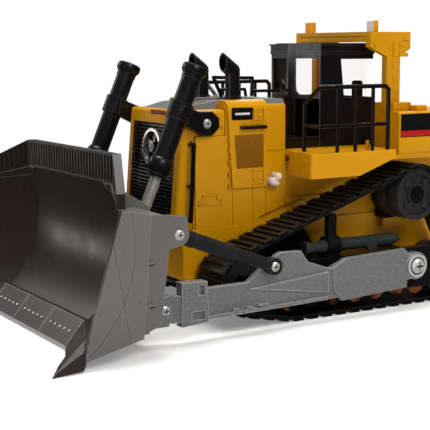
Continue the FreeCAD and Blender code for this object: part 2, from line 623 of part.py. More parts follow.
def control_console():
    """Dash behind the windscreen with a screen hood and two control levers."""
    z = DECK_Z + 1.2
    dash = side([(18.0, z), (22.6, z), (22.6, z + 12.5), (20.4, z + 14.5), (18.0, z + 11)], -3.8, 3.8)
    parts = [dash, box(18.6, 21.6, -2.2, 2.2, z + 12.4, z + 16.4)]
    for y in (-6.4, 6.4):
        parts.append(box(8.6, 11.6, y - 1.1, y + 1.1, z, z + 8.4))
        parts.append(rod((10.2, y, z + 8.2), (11.4, y, z + 13.0), 0.5))
        parts.append(Part.makeSphere(0.95, V(11.4, y, z + 13.2)))
    link = fuse(parts[:2])
    left = [fuse(parts[2 + 3 * k:5 + 3 * k]) for k in range(2)]
    return [link] + left


def rops_frame():
    """Yellow roll-over canopy: roof box, gusseted side plates, posts and feet."""
    roof = box(CANOPY_X0, CANOPY_X1, -CANOPY_Y, CANOPY_Y, CAB_ROOF_Z + 0.4, CANOPY_TOP)
    step = box(CANOPY_X1 - 0.5, CANOPY_X1 + 1, -CANOPY_Y + 1.2, CANOPY_Y - 1.2, 91.4, 91.8)
    roof = roof.cut(step)
    gusset = side([(CANOPY_X0, CANOPY_TOP), (CANOPY_X0, 87.4), (POST_X0, 84.8), (POST_X1, 84.8),
                   (CANOPY_X1, 88.0), (CANOPY_X1, CANOPY_TOP)], POST_Y, CANOPY_Y)
    post = box(POST_X0, POST_X1, POST_Y, CANOPY_Y, TANK_Z0, 86)
    bulkhead = box(POST_X0, POST_X1, 15.1, CANOPY_Y + 0.5, TANK_Z0, 68.7)
    foot = box(-10.6, -2.8, 19.3, 26.4, TANK_Z1, 68.9)
    left = [gusset, post, bulkhead, foot]
    for z in (80.5, 76.5, 72.5):
        left.append(box(-8.4, -5.6, CANOPY_Y, CANOPY_Y + 0.35, z, z + 1.8))
    for z in (90.4, 87.9):
        left.append(box(-13.2, -10.4, CANOPY_Y, CANOPY_Y + 0.35, z, z + 1.4))
    left.append(side([(-7.4, 84.8), (-5.6, 84.8), (-5.6, 89.6), (-7.4, 89.6)],
                     CANOPY_Y, CANOPY_Y + 0.5))
    left.append(disc((2.2, 88.9), 0.7, CANOPY_Y, CANOPY_Y + 0.6))
    left_side = fuse(left)
    return fuse([roof] + both(left_side))


def rops_lamps():
    """Two work lamps on the canopy's front edge."""
    lamp = box(-0.6, 1.5, 16.3, 20.1, CANOPY_TOP, CANOPY_TOP + 3.9)
    lamp = rounded(lamp, 0.4, lambda e: along(e, (0, 1, 0)) and e.BoundBox.ZMin > CANOPY_TOP + 3)
    return both(lamp)


# ---- platforms and tank ----------------------------------------------------
def platform():
    """Left platform: deck, skirt that rises over the track, and the fender behind it."""
    deck = box(DECK_X0, DECK_X1, 16.2, DECK_Y, DECK_Z - DECK_T, DECK_Z)
    deck = deck.cut(box(HOOD_X0 - 0.1, 50, 0, HOOD_Y + 0.1, 40, 60))
    deck = deck.cut(plan([(37.5, 21.4), (DECK_X1, DECK_Y), (50, DECK_Y), (50, 0), (37.5, 0)], 40, 60))
    skirt = side([(DECK_X0, DECK_Z), (DECK_X0, 51.2), (4.5, 51.2), (19.8, SKIRT_Z),
                  (DECK_X1, SKIRT_Z), (DECK_X1, DECK_Z)], DECK_Y - 1.3, DECK_Y)
    nose = plan([(36.0, 21.4), (37.5, 21.4), (DECK_X1, DECK_Y), (DECK_X1 - 1.6, DECK_Y)], SKIRT_Z, DECK_Z)
    fender = box(TANK_X0, DECK_X0, 17.0, TANK_Y + 0.6, TANK_Z0 - DECK_T, TANK_Z0)
    join = box(DECK_X0 - 0.4, DECK_X0 + 1.0, 17.0, TANK_Y + 0.6, TANK_Z0 - DECK_T, DECK_Z)
    step = box(DECK_X1 - 1.0, DECK_X1 + 0.1, 31.6, 34.2, 47.4, 52.0)
    step = step.cut(box(DECK_X1 - 0.25, DECK_X1 + 1, 32.2, 33.6, 48.2, 51.2))
    body = fuse([deck, skirt, nose, fender, join, step])
    body = rounded(body, 1.0, lambda e: along(e, (0, 0, 1)) and e.BoundBox.XMin > DECK_X1 - 0.01
                   and e.BoundBox.YMin > DECK_Y - 0.01)
    peg = Part.makeCylinder(0.55, 3.2, V(14.2, 33.5, DECK_Z))
    return fuse([body, peg])


def platform_rails():
    """Safety rails on both platforms: posts, top rail, mid rail and a stepped-down front."""
    y, r = 35.6, 0.72
    top, mid = 75.2, 62.6
    x0, x1 = 7.3, 35.6
    outer = tube_run([(x0, y, DECK_Z), (x0, y, top - 1.2), (x0 + 1.2, y, top), (x1, y, top),
                      (x1, 27.2, 69.6), (x1, 27.2, DECK_Z)], r)
    parts = [outer, tube_run([(x0, y, mid), (x1, y, mid), (x1, 27.2, mid)], r - 0.08)]
    for x in (28.4, 21.0, 13.8):
        parts.append(rod((x, y, DECK_Z), (x, y, top), r - 0.08))
    left = fuse(parts)
    return both(left)


def fuel_tank():
    """Wide rear tank with a centre waist, filler caps and a vertical seam on each side."""
    wings = box(TANK_X0, TANK_X1, 26.6, TANK_Y, TANK_Z0, TANK_Z1)
    wings = rounded(wings, 1.2, lambda e: (along(e, (1, 0, 0)) and e.BoundBox.ZMin > 65
                                           and e.BoundBox.YMin > 33)
                    or (along(e, (0, 0, 1)) and e.BoundBox.XMax < -33 and e.BoundBox.YMin > 33))
    core = box(TANK_X0, -11.0, 0, 26.6, TANK_Z0, TANK_Z1)
    left = fuse([wings, core])
    cap = box(-14.4, -9.8, 27.0, 30.4, TANK_Z1, TANK_Z1 + 2.0)
    cap = rounded(cap, 0.5, lambda e: e.BoundBox.ZMin > TANK_Z1 + 1.9)
    tank = fuse([left, mirrored(left)])
    lid = box(-28, -20, -6, 6, TANK_Z1, TANK_Z1 + 0.8)
    return fuse([tank, cap, lid])


def air_canister():
    """Black pre-cleaner canister on the deck behind the cab."""
    x, z = -7.6, TANK_Z0
    foot = box(x - 3, x + 3, -5, 5, z, z + 14.4)
    can = Part.makeCylinder(2.0, 10.0, V(x, 0, z + 14.4))
    can = rounded(can, 1.0, lambda e: e.BoundBox.ZMin > z + 24)
    return fuse([foot, can])


def side_lamps():
    """Small two-lobed work lamps on the flanks ahead of the platforms."""
    y = HOOD_Y
    arm = box(42.2, 43.6, y, y + 1.4, 43.6, 45.2)
    lobes = []
    for x, z, radius, length in ((43.7, 44.0, 1.35, 2.6), (41.9, 45.6, 1.2, 2.9), (42.2, 43.3, 1.0, 2.2)):
        lobes.append(disc((x, z), radius, y, y + length))
        lobes.append(Part.makeCone(radius, radius - 0.5, 0.6, V(x, y + length, z), V(0, 1, 0)))
    return both(fuse([arm] + lobes))


# ---- blade -----------------------------------------------------------------
def mould_x(z, radius=MOULD_R):
    """X of the moldboard's hollow face at a height, in the centre section."""
    return MOULD_C[0] - math.sqrt(radius ** 2 - (z - MOULD_C[1]) ** 2)


def mould_section(y):
    """Section of the moldboard as a face at Y = y: two arcs and two short ends."""
    def at(z, radius):
        return V(mould_x(z, radius), y, z)
    middle = 34.0
    outer_r = MOULD_R + MOULD_T
    hollow = Part.Arc(at(MOULD_Z0, MOULD_R), at(middle, MOULD_R), at(MOULD_Z1, MOULD_R)).toShape()
    back = Part.Arc(at(MOULD_Z1, outer_r), at(middle, outer_r), at(MOULD_Z0, outer_r)).toShape()
    top = Part.makeLine(at(MOULD_Z1, MOULD_R), at(MOULD_Z1, outer_r))
    foot = Part.makeLine(at(MOULD_Z0, outer_r), at(MOULD_Z0, MOULD_R))
    return Part.Face(Part.Wire([hollow, top, back, foot]))


def wing_shift(y):
    return WING * max(0.0, abs(y) - CREASE_Y)


def edge_outline(shift=0.0):
    """Section of the cutting edge: a slanted bar below the moldboard."""
    x0, z0 = mould_x(MOULD_Z0) + shift, MOULD_Z0
    x1, z1 = EDGE_TIP[0] + shift, EDGE_TIP[1]
    return [(x0 + 1.5, z0), (x0 - 1.4, z0), (x1 - 2.6, z1), (x1, z1)]


def moldboard():
    """Blade body: hollow face, wings, end plates, rear frame and lugs."""
    wing_y = BLADE_Y - PLATE_T
    centre = mould_section(-CREASE_Y).extrude(V(0, 2 * CREASE_Y, 0))
    wing = mould_section(CREASE_Y).extrude(V(wing_shift(wing_y), wing_y - CREASE_Y, 0))
    slope = prism([(90, CREASE_Y, MOULD_Z1), (90, wing_y + 1, WING_END_Z), (90, wing_y + 1, 60),
                   (90, CREASE_Y, 60)], (60, 0, 0))
    wing = wing.cut(slope)
    end = side([(116.5, WING_END_Z), (109.1, 42.4), (107.4, 41.8), (110.2, 6.8), (128.9, 2.4)],
               wing_y, BLADE_Y)
    line = 0.3
    arc = Part.makeCylinder(MOULD_R + 3.4, 4, V(MOULD_C[0] + wing_shift(BLADE_Y), BLADE_Y - line,
                                                MOULD_C[1]), V(0, 1, 0))
    arc = arc.cut(Part.makeCylinder(MOULD_R + 3.1, 6, V(MOULD_C[0] + wing_shift(BLADE_Y), 50,
                                                       MOULD_C[1]), V(0, 1, 0)))
    seam = side([(119.6, 37.0), (119.9, 37.0), (114.6, 6.0), (114.3, 6.0)], BLADE_Y - line, 60)
    end = cut_each(end, [arc, seam])
    web = plan([(107.6, SIDE_Y0), (107.6, wing_y), (110.6, wing_y), (110.6, SIDE_Y0)], 7.6, 41.8)
    panel = side([(94.9, 40.2), (94.4, 38.0), (95.1, 37.2), (94.9, 33.0), (97.2, 31.9), (100.6, 31.2),
                  (103.4, 9.4), (110.2, 6.9), (108.0, 41.8), (99.6, 40.9)], SIDE_Y0, SIDE_Y1)
    ear = disc(BRACE_PIN, 3.1, SIDE_Y0, SIDE_Y1)
    panel = fuse([panel, ear])
    gussets = [prism([(105.2, SIDE_Y1, z), (109.2, SIDE_Y1, z), (109.2, SIDE_Y1 + 1.6, z)], (0, 0, 0.8))
               for z in (15.4, 27.6)]
    panel = fuse([panel] + gussets)
    left = [wing, end, web, panel]
    for z0, z1 in ((8.6, 11.4), (37.6, 40.4)):
        back = 100.6 if z0 < 20 else 99.4
        left.append(plan([(back, CREASE_Y - 4), (back, SIDE_Y1 - 0.4), (mould_x(34) + 3.6, SIDE_Y1 - 0.4),
                          (mould_x(34) - 1.4, CREASE_Y), (mould_x(34) - 1.4, CREASE_Y - 4)], z0, z1))
    left.append(box(101.0, mould_x(34) - 1.2, 30.2, 31.6, 8.8, 40.2))
    for y in (LIFT_Y - 4.2, LIFT_Y + 2.4):
        left.append(side([(96.6, 18.6), (98.6, 17.0), (108.8, 17.0), (104.6, 31), (101.4, 31),
                          (96.6, 23.4)], y, y + 1.8))
    left.append(disc(LIFT_EYE, 1.2, LIFT_Y - 2.5, LIFT_Y + 2.5))
    for y in (LIFT_Y - 5.6, LIFT_Y + 4.2):
        left.append(side([(107.4, 48.0), (105.2, 47.2), (93.4, 39.8), (94.2, 38.6), (106.0, 38.6)],
                         y, y + 1.4))
    lug_y = 38.2
    left.append(side([(94.0, 8.6), (96.0, 6.8), (101.4, 6.8), (118.0, 8.6), (113.0, 15.2),
                      (97.5, 15.2), (94.0, 13.0)], lug_y, lug_y + 2.3))
    left_side = fuse(left)
    beams = []
    for z0, z1 in ((8.6, 11.4), (37.6, 40.4)):
        back = 100.6 if z0 < 20 else 99.4
        beams.append(box(back, mould_x(34) - 1.0, -CREASE_Y + 3, CREASE_Y - 3, z0, z1))
    ribs = [box(101.0, mould_x(34) - 1.0, y, y + 1.4, 8.8, 40.2) for y in (-9.7, 8.3)]
    beams += ribs
    body = fuse([centre, left_side, mirrored(left_side)] + beams)
    hollow = disc(MOULD_C, MOULD_R, -CREASE_Y, CREASE_Y)
    body = body.cut(hollow)
    holes = [disc(BRACE_PIN, 1.1, 40, 60), disc(ARM_PIN, 1.25, 36, 43)]
    holes = [h for hole in holes for h in both(hole)]
    return cut_each(body, holes)


def rock_guard():
    """Slatted guard on top of the moldboard: a ribbed wall that falls away along the wings."""
    x0, x1, z0, crease = ROCK_X0, ROCK_X1, MOULD_Z1, ROCK_CREASE_Y
    bar = box(x0, x1, -crease, crease, z0, GUARD_Z)
    wing_y = BLADE_Y - PLATE_T
    run = wing_y - crease
    wing = prism([(x0, crease, WING_END_Z - 1), (x1, crease, WING_END_Z - 1), (x1, crease, GUARD_Z),
                  (x0, crease, GUARD_Z)], (WING * run, run, 0))
    end_z = WING_END_Z + 4.2
    drop = prism([(90, crease, GUARD_Z), (90, wing_y + 1, end_z), (90, wing_y + 1, 70),
                  (90, crease, 70)], (60, 0, 0))
    lift = prism([(90, crease - 1, MOULD_Z1 + 0.02), (90, crease, MOULD_Z1 + 0.02),
                  (90, wing_y + 1, WING_END_Z + 0.02), (90, wing_y + 1, 30), (90, crease - 1, 30)],
                 (60, 0, 0))
    wing = cut_each(wing, [drop, lift])
    reach = int(crease / ROCK_PITCH)
    slots = [box(x1 - 0.8, x1 + 3, ROCK_PITCH * k - ROCK_SLOT / 2, ROCK_PITCH * k + ROCK_SLOT / 2,
                 z0 + 0.5, GUARD_Z - 0.6) for k in range(-reach, reach + 1)]
    centre = cut(bar, slots)
    wing_slots = []
    for k in range(int(run / ROCK_PITCH)):
        y0 = crease + ROCK_PITCH * (k + 0.35)
        y1 = y0 + ROCK_SLOT
        top = GUARD_Z - (GUARD_Z - end_z) * (y1 - crease) / run - 0.6
        foot = MOULD_Z1 - (MOULD_Z1 - WING_END_Z) * (y0 - crease) / run + 0.5
        a, b = x1 - 0.8 + WING * (y0 - crease), x1 - 0.8 + WING * (y1 - crease)
        wing_slots.append(plan([(a, y0), (a + 4, y0), (b + 4, y1), (b, y1)], foot, top))
    wing = cut(wing, wing_slots)
    return fuse([centre, wing, mirrored(wing)])


def hull_solid(corners):
    """Convex solid round some corners, each moved a hair so that no four share a plane."""
    points = [p + V(0.012 * math.sin(7 * n), 0.02 * math.sin(11 * n + 1), 0.012 * math.cos(5 * n))
              for n, p in enumerate(corners)]
    faces = []
    for i, a in enumerate(points):
        for j in range(i + 1, len(points)):
            for k in range(j + 1, len(points)):
                normal = (points[j] - a).cross(points[k] - a)
                dots = [normal.dot(p - a) for n, p in enumerate(points) if n not in (i, j, k)]
                if all(d < 0 for d in dots) or all(d > 0 for d in dots):
                    faces.append(Part.Face(Part.makePolygon([a, points[j], points[k], a])))
    solid = Part.Solid(Part.makeShell(faces))
    return solid if solid.Volume > 0 else solid.reversed()


def edge_bolts(y0, y1, count):
    """Countersunk bolt heads along a length of cutting edge in the centre section."""
    x = mould_x(MOULD_Z0) + 1.5
    run_x, run_z = EDGE_TIP[0] - x, EDGE_TIP[1] - MOULD_Z0
    length = math.hypot(run_x, run_z)
    normal = V(-run_z / length, 0, run_x / length)
    middle = V(x + 0.52 * run_x, 0, MOULD_Z0 + 0.52 * run_z)
    return [Part.makeCylinder(0.42, 0.5, middle + V(0, y0 + (y1 - y0) * (k + 1) / (count + 1), 0)
                              - normal * 0.38, normal) for k in range(count)]


def cutting_edge(board):
    """Bolt-on edges: three centre lengths, two wing lengths and the pointed end bits."""
    pieces = []
    joint = 0.12
    third = 2 * CREASE_Y / 3
    for k in range(3):
        y0 = -CREASE_Y + third * k
        plate = side(edge_outline(), y0 + joint, y0 + third - joint)
        pieces.append(fuse([plate] + edge_bolts(y0, y0 + third, 5)))
    y0, y1 = CREASE_Y + joint, 43.2
    wing = prism([(x + wing_shift(y0), y0, z) for x, z in edge_outline()], (WING * (y1 - y0), y1 - y0, 0))
    pieces += both(wing)
    y2, y3 = y1 + 0.25, BLADE_Y - PLATE_T - 0.05
    start = [V(x, y2, z) for x, z in edge_outline(wing_shift(y2))]
    end = [V(x, y3, z - 0.05) for x, z in edge_outline(wing_shift(y3))[:2]]
    nose = [V(133.2, 47.6, 0.95), V(129.35, 55.7, 5.9), V(129.2, 55.55, 0.5), V(NOSE_X, 56.2, 0.02),
            V(137.6, 56.05, 1.25)]
    tooth = hull_solid(start + end + nose)
    tooth = max(tooth.cut(board).Solids, key=lambda t: t.Volume)
    pieces += both(tooth)
    return pieces


def push_arm():
    """Left push arm: forged beam, cover panel, brace ear, front block and pin lug."""
    web = side([(7.0, 8.6), (35.6, 7.4), (60.0, 7.7), (82.0, 6.4), (91.4, 5.8), (91.4, 16.0),
                (67.5, 16.2), (58.8, 22.6), (55.0, 24.4), (47.6, 24.2), (44.8, 20.4), (36.0, 17.4),
                (30.0, 19.4), (7.0, 19.6)], ARM_Y0, ARM_Y1)
    panel = side([(4.2, 7.7), (31.4, 6.3), (35.2, 10.0), (35.4, 17.6), (30.4, 20.3), (5.6, 21.2),
                  (4.2, 19.9)], ARM_Y1 - 0.6, ARM_Y1 + 1.0)
    panel = rounded(panel, 0.35, lambda e: abs(e.BoundBox.YMin - ARM_Y1 - 1.0) < 1e-6)
    tail = side([(-1.5, 10.8), (8, 9.6), (8, 19.2), (-1.5, 18.8)], ARM_Y0, ARM_Y1 + 0.1)
    eye = disc(TRUNNION, 4.6, ARM_Y0, ARM_Y1 + 0.6)
    wedge = prism([(37.0, ARM_Y1, 9.8), (67.0, ARM_Y1, 14.2), (37.0, ARM_Y1, 16.4)], (0, 0.7, 0))
    lower = side([(37.5, 7.45), (82.0, 6.5), (82.0, 7.5), (37.5, 8.5)], ARM_Y1 - 0.2, ARM_Y1 + 0.9)
    block = side([(82.6, 6.0), (91.8, 5.4), (91.8, 18.9), (83.0, 18.6)], ARM_Y0, ARM_Y1 + 1.6)
    pockets = [box(83.9, 86.0, ARM_Y1 + 0.6, 60, 14.6, 17.6),
               box(83.9, 88.4, ARM_Y1 + 0.6, 60, 7.2, 9.6)]
    lug = side([(90.8, 6.6), (96.0, 6.9), (100.0, 8.4), (100.6, 11.4), (99.0, 14.6), (95.4, 15.6),
                (90.8, 14.6)], ARM_Y0 + 0.2, ARM_Y0 + 2.7)
    rib = box(60.5, 64.0, ARM_Y1, ARM_Y1 + 0.9, 8.4, 9.2)
    steps = [side([(66.0 + 5 * k, 7.2), (69.2 + 5 * k, 7.1), (68.4 + 5 * k, 8.9), (66.8 + 5 * k, 8.9)],
                  ARM_Y1 - 0.1, ARM_Y1 + 1.5) for k in range(2)]
    body = fuse([web, panel, tail, eye, wedge, lower, block, lug, rib] + steps)
    holes = [disc(TRUNNION, TRUNNION_R + RUN_GAP, 30, 60), disc(ARM_PIN, 1.15, 38, 60),
             disc(ARM_BRACE_PIN, 1.1, 38, 60)]
    return cut_each(body, pockets + holes)


def tilt_brace():
    """Left tilt strut: rod-end at the blade, long barrel, slim rod and a round foot."""
    y_front, y_back = 48.9, ARM_Y1 + 2.1
    a = V(BRACE_PIN[0], y_front, BRACE_PIN[1])
    b = V(ARM_BRACE_PIN[0], y_back, ARM_BRACE_PIN[1])
    d = (b - a)
    length = d.Length
    d.normalize()
    def at(s):
        return tuple(a + d * s)
    parts = [disc(BRACE_PIN, 2.9, y_front - 1.7, y_front + 2.0),
             rod(at(1.0), at(4.2), 2.2), rod(at(3.4), at(7.2), 2.45), rod(at(7.0), at(22.5), 2.3),
             rod(at(22.0), at(22.8), 2.1), rod(at(22.4), at(length - 4.0), 1.95),
             rod(at(length - 5.0), at(length - 1.0), 1.6),
             disc(ARM_BRACE_PIN, 2.7, ARM_Y1 + 0.15, ARM_Y1 + 3.4)]
    body = fuse(parts)
    body = body.cut(box(40, 110, 30, ARM_Y1 + 0.14, 0, 60))
    body = body.cut(box(90, 110, SIDE_Y0 - 0.05, 60, 0, 60))
    seat = disc(ARM_BRACE_PIN, 1.75, ARM_Y1 + 3.4, 60)
    return cut_each(body, [seat, disc(BRACE_PIN, 1.1, 40, 60), disc(ARM_BRACE_PIN, 1.1, 40, 60)])


def blade_screws():
    """Screws that pin braces and arms to the blade, left and right."""
    left = [screw(*BRACE_PIN, SIDE_Y1 + 0.05, 1, 1.55, 1.0, 5.2),
            screw(*ARM_BRACE_PIN, ARM_Y1 + 3.45, 1, 1.5, 1.0, 5.6),
            screw(*ARM_PIN, ARM_Y0 + 2.75, 1, 1.6, 1.0, 5.2)]
    return [s for item in left for s in both(item)]


def fixed_screws():
    """Screws in the tractor: trunnions, lift yokes and belly plate."""
    left = [screw(*TRUNNION, 43.95, 1, 2.6, 1.2, 5.2), screw(*YOKE, YOKE_Y0 + 2.3, 1, 1.5, 1.0, 5.4)]
    washer = disc(TRUNNION, 4.0, ARM_Y1 + 0.65, 43.85).cut(disc(TRUNNION, TRUNNION_R + 0.05, 40, 50))
    group = [s for item in left + [washer] for s in both(item)]
    for x, y in belly_holes():
        shaft = Part.makeCylinder(1.0, 3.0, V(x, y, 9.0))
        head = Part.makeCylinder(1.8, 0.7, V(x, y, 8.85))
        group.append(fuse([head, shaft]).cut(box(x - 1.1, x + 1.1, y - 0.2, y + 0.2, 8, 9.2)))
    return group


# ---- lift cylinders --------------------------------------------------------
def lift_direction():
    dx, dz = LIFT_EYE[0] - LIFT_TOP[0], LIFT_EYE[1] - LIFT_TOP[1]
    length = math.hypot(dx, dz)
    return V(dx / length, 0, dz / length), length


def lift_point(s):
    """Point on the left lift cylinder's line, s from its top."""
    d, _ = lift_direction()
    return tuple(V(LIFT_TOP[0], LIFT_Y, LIFT_TOP[1]) + d * s)


def lift_barrel():
    """Left lift cylinder with cap, gland, trunnion collar and its yoke arm."""
    parts = [rod(lift_point(0), lift_point(2.6), 3.7), rod(lift_point(2.5), lift_point(4.4), 3.3),
             rod(lift_point(0.3), lift_point(BARREL_L - 5.4), BARREL_R),
             rod(lift_point(BARREL_L - 5.4), lift_point(BARREL_L - 0.8), 3.55),
             rod(lift_point(BARREL_L - 0.9), lift_point(BARREL_L), 2.9)]
    collar = lift_point(15.2)
    parts.append(rod(lift_point(12.4), lift_point(18.0), 3.75))
    knob = disc((collar[0], collar[2]), 1.9, LIFT_Y + 2.2, LIFT_Y + 4.6)
    plate_y0, plate_y1 = YOKE_Y0, YOKE_Y0 + 2.25
    octagon = [(YOKE[0] + 5.0 * math.cos(math.radians(22.5 + 45 * k)),
                YOKE[1] + 4.1 * math.sin(math.radians(22.5 + 45 * k))) for k in range(8)]
    plate = side(octagon, plate_y0, plate_y1)
    arm = side([(YOKE[0] - 1, YOKE[1] - 3.2), (YOKE[0] + 3, YOKE[1] - 3.0), (collar[0] + 0.5, collar[2] - 3.2),
                (collar[0] - 0.4, collar[2] + 2.4), (YOKE[0] + 2, YOKE[1] + 3.4)], plate_y0, plate_y1 + 0.9)
    boss = disc(YOKE, 2.5, plate_y0, plate_y1)
    body = fuse(parts + [knob, plate, arm, boss])
    bore = rod(lift_point(BORE_START), lift_point(BARREL_L + 1), ROD_R + 0.06)
    seat = disc(YOKE, 1.9, plate_y1, 40)
    return cut_each(body, [bore, disc(YOKE, 1.0 + RUN_GAP, 10, 40), seat])


def lift_rod():
    """Left chrome rod with a pin eye at the blade."""
    _, length = lift_direction()
    shaft = rod(lift_point(ROD_START), lift_point(length - 1.0), ROD_R)
    eye = disc(LIFT_EYE, 2.9, LIFT_Y - 1.8, LIFT_Y + 1.8)
    return fuse([shaft, eye]).cut(disc(LIFT_EYE, 1.85, LIFT_Y - 4, LIFT_Y + 4))


# ---- ripper ----------------------------------------------------------------
def ripper_mount():
    """Rear bracket bolted to the hull: back plate and four ears with pins."""
    plate = box(-36.2, -35.0, -14.5, 14.5, 14.5, SILL_Z)
    upper = box(-36.2, -33.0, -12.5, 12.5, SILL_Z + 0.0, 43.0)
    parts = [plate, upper]
    for y in (8.6, 12.6):
        lower_ear = side([(-35.8, 14.6), (RIP_PIVOT[0] - 1.6, 15.4), (RIP_PIVOT[0] - 1.6, 20.6), (-35.8, 21.4)],
                         y, y + 1.2)
        parts += both(lower_ear)
    for y in (3.4, 8.4):
        upper_ear = side([(-35.8, 36), (RIP_UPPER[0] - 1.8, 37.2), (RIP_UPPER[0] - 1.8, 40.8), (-35.8, 42)],
                         y, y + 1.0)
        parts += both(upper_ear)
    parts += both(disc(RIP_PIVOT, 1.0, 8.6, 13.8))
    parts += both(disc(RIP_UPPER, 0.9, 3.4, 9.4))
    return fuse(parts)


def ripper_beam():
    """Swinging ripper frame: cross beam, two lower arms and lugs for the cylinders."""
    bx, bz = RIP_BEAM
    back = TAIL_X
    beam = box(back, back + 8.6, -24.0, 24.0, bz - 4.0, bz + 4.0)
    beam = rounded(beam, 0.8, lambda e: along(e, (0, 1, 0)))
    parts = [beam]
    arm = side([(RIP_PIVOT[0] + 0.2, 16.2), (RIP_PIVOT[0] - 2.2, 15.6), (back + 8, bz - 2.6),
                (back + 8, bz + 2.6), (RIP_PIVOT[0] - 2.2, 20.4), (RIP_PIVOT[0] + 0.2, 19.8)], 10.0, 12.4)
    parts += both(arm)
    for y in (3.9, 7.9):
        lug = side([(back + 6.0, bz + 3.6), (RIP_EYE[0] + 1.6, RIP_EYE[1] - 1.4),
                    (RIP_EYE[0] + 1.6, RIP_EYE[1] + 1.6), (RIP_EYE[0] - 1.6, RIP_EYE[1] + 1.6),
                    (back + 2.4, bz + 3.6)], y, y + 0.9)
        parts += both(lug)
    parts += both(box(back + 4.4, back + 12.0, 3.9, 8.8, bz - 1.5, bz + 2.0))
    parts += both(disc(RIP_EYE, 0.8, 3.9, 8.8))
    body = fuse(parts)
    holes = both(disc(RIP_PIVOT, 1.0 + RUN_GAP, 5, 20))
    holes += [box(back + 2.2, back + 6.4, y - 1.55, y + 1.55, bz - 6, bz + 6)
              for y in (-SHANK_Y, 0, SHANK_Y)]
    return cut_each(body, holes)


def ripper_shanks():
    """Three curved shanks with pointed teeth, held in the beam's pockets."""
    bz, back = RIP_BEAM[1], TAIL_X
    shanks = []
    for y in (-SHANK_Y, 0, SHANK_Y):
        shank = side([(back + 2.3, 31.0), (back + 6.3, 31.0), (back + 6.3, 10.0), (back + 8.0, 5.2),
                      (back + 11.6, 1.2), (back + 8.4, 1.4), (back + 4.4, 4.4), (back + 2.3, 9.6)],
                     y - 1.45, y + 1.45)
        shanks.append(shank)
    return shanks


def ripper_line():
    a = V(RIP_UPPER[0], 6.4, RIP_UPPER[1])
    b = V(RIP_EYE[0], 6.4, RIP_EYE[1])
    d = b - a
    length = d.Length
    d.normalize()
    return a, d, length


def ripper_barrels():
    """Two ripper cylinders hung from the upper ears."""
    a, d, length = ripper_line()
    parts = [disc(RIP_UPPER, 1.6, 4.6, 8.2), rod(tuple(a + d * 1.0), tuple(a + d * 12.5), 1.75),
             rod(tuple(a + d * 11.0), tuple(a + d * 13.0), 2.0)]
    body = cut_each(fuse(parts), [disc(RIP_UPPER, 0.9 + RUN_GAP, 0, 20),
                                  rod(tuple(a + d * RIP_BORE_START), tuple(a + d * 14.0), 1.0)])
    return both(body)


def ripper_rods():
    """Chrome rods of the ripper cylinders, each with an eye at the beam."""
    a, d, length = ripper_line()
    shaft = rod(tuple(a + d * RIP_ROD_START), tuple(a + d * (length - 1.0)), 0.94)
    eye = disc(RIP_EYE, 1.75, 5.1, 7.6)
    body = fuse([shaft, eye]).cut(disc(RIP_EYE, 1.25, 0, 20))
    return both(body)


# ---- assembly --------------------------------------------------------------
def left_and_right(name, shape):
    return {name + "_left": shape, name + "_right": mirrored(shape)}


def nodes():
    """Every node name with its shape or list of solids."""
    board = moldboard()
    made = {
        "hull": hull(), "belly_plate": belly_plate(), "radiator_guard": radiator_guard(),
        "radiator_grille": radiator_grille(), "cooling_fan": cooling_fan(),
        "engine_hood": engine_hood(), "hood_cover": hood_cover(), "grab_rails": grab_rails(),
        "exhaust_stacks": [exhaust_stack(y) for y in (10.1, -10.1)], "hood_rail": hood_rail(),
        "cab_shell": cab_shell(), "cab_roof": cab_roof(), "cab_glazing": cab_glazing(),
        "operator_seat": operator_seat(), "control_console": control_console(),
        "rops_frame": rops_frame(), "rops_lamps": rops_lamps(),
        "platform_rails": platform_rails(), "fuel_tank": fuel_tank(),
        "air_canister": air_canister(), "side_lamps": side_lamps(),
        "roller_strips": roller_strips(), "axle_pins": axle_pins(),
        "fixed_screws": fixed_screws(), "ripper_mount": ripper_mount(),
        "moldboard": board, "rock_guard": rock_guard(), "cutting_edge": cutting_edge(board),
        "blade_screws": blade_screws(), "ripper_beam": ripper_beam(),
        "ripper_shanks": ripper_shanks(), "ripper_barrels": ripper_barrels(),
        "ripper_rods": ripper_rods()}
    pairs = {
        "engine_door": engine_door(), "platform": platform(), "final_drive": final_drive(),
        "track_frame": track_frame(), "recoil_tube": recoil_tube(), "track": track(),
        "push_arm": push_arm(), "tilt_brace": tilt_brace(), "lift_barrel": lift_barrel(),
        "lift_rod": lift_rod(), "sprocket": sprocket(), "front_idler": idler(FRONT_IDLER),
        "rear_idler": idler(REAR_IDLER)}
    for name, shape in pairs.items():
        made.update(left_and_right(name, shape))
    return made


def export():
    os.makedirs("parts", exist_ok=True)
    for name, shape in nodes().items():
        solids = shape if isinstance(shape, list) else [shape]
        flat = [s for item in solids for s in item.Solids]
        whole = flat[0] if len(flat) == 1 else Part.makeCompound(flat)
        whole = whole.copy()
        whole.translate(V(-FRAME_X, 0, 0))
        bad = [k for k, s in enumerate(flat) if not s.isValid() or s.Volume <= 0]
        print(f"{name}: {len(flat)} solid(s), {whole.Volume:.1f} mm3" + (f" BAD {bad}" if bad else ""))
        whole.exportStep(f"parts/{name}.step")


if __name__ == "__main__":
    export()
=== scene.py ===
"""Looks of the toy bulldozer: studio, procedural finishes and small surface details."""
import json
import math

import bmesh
import bpy
from mathutils import Matrix, Vector


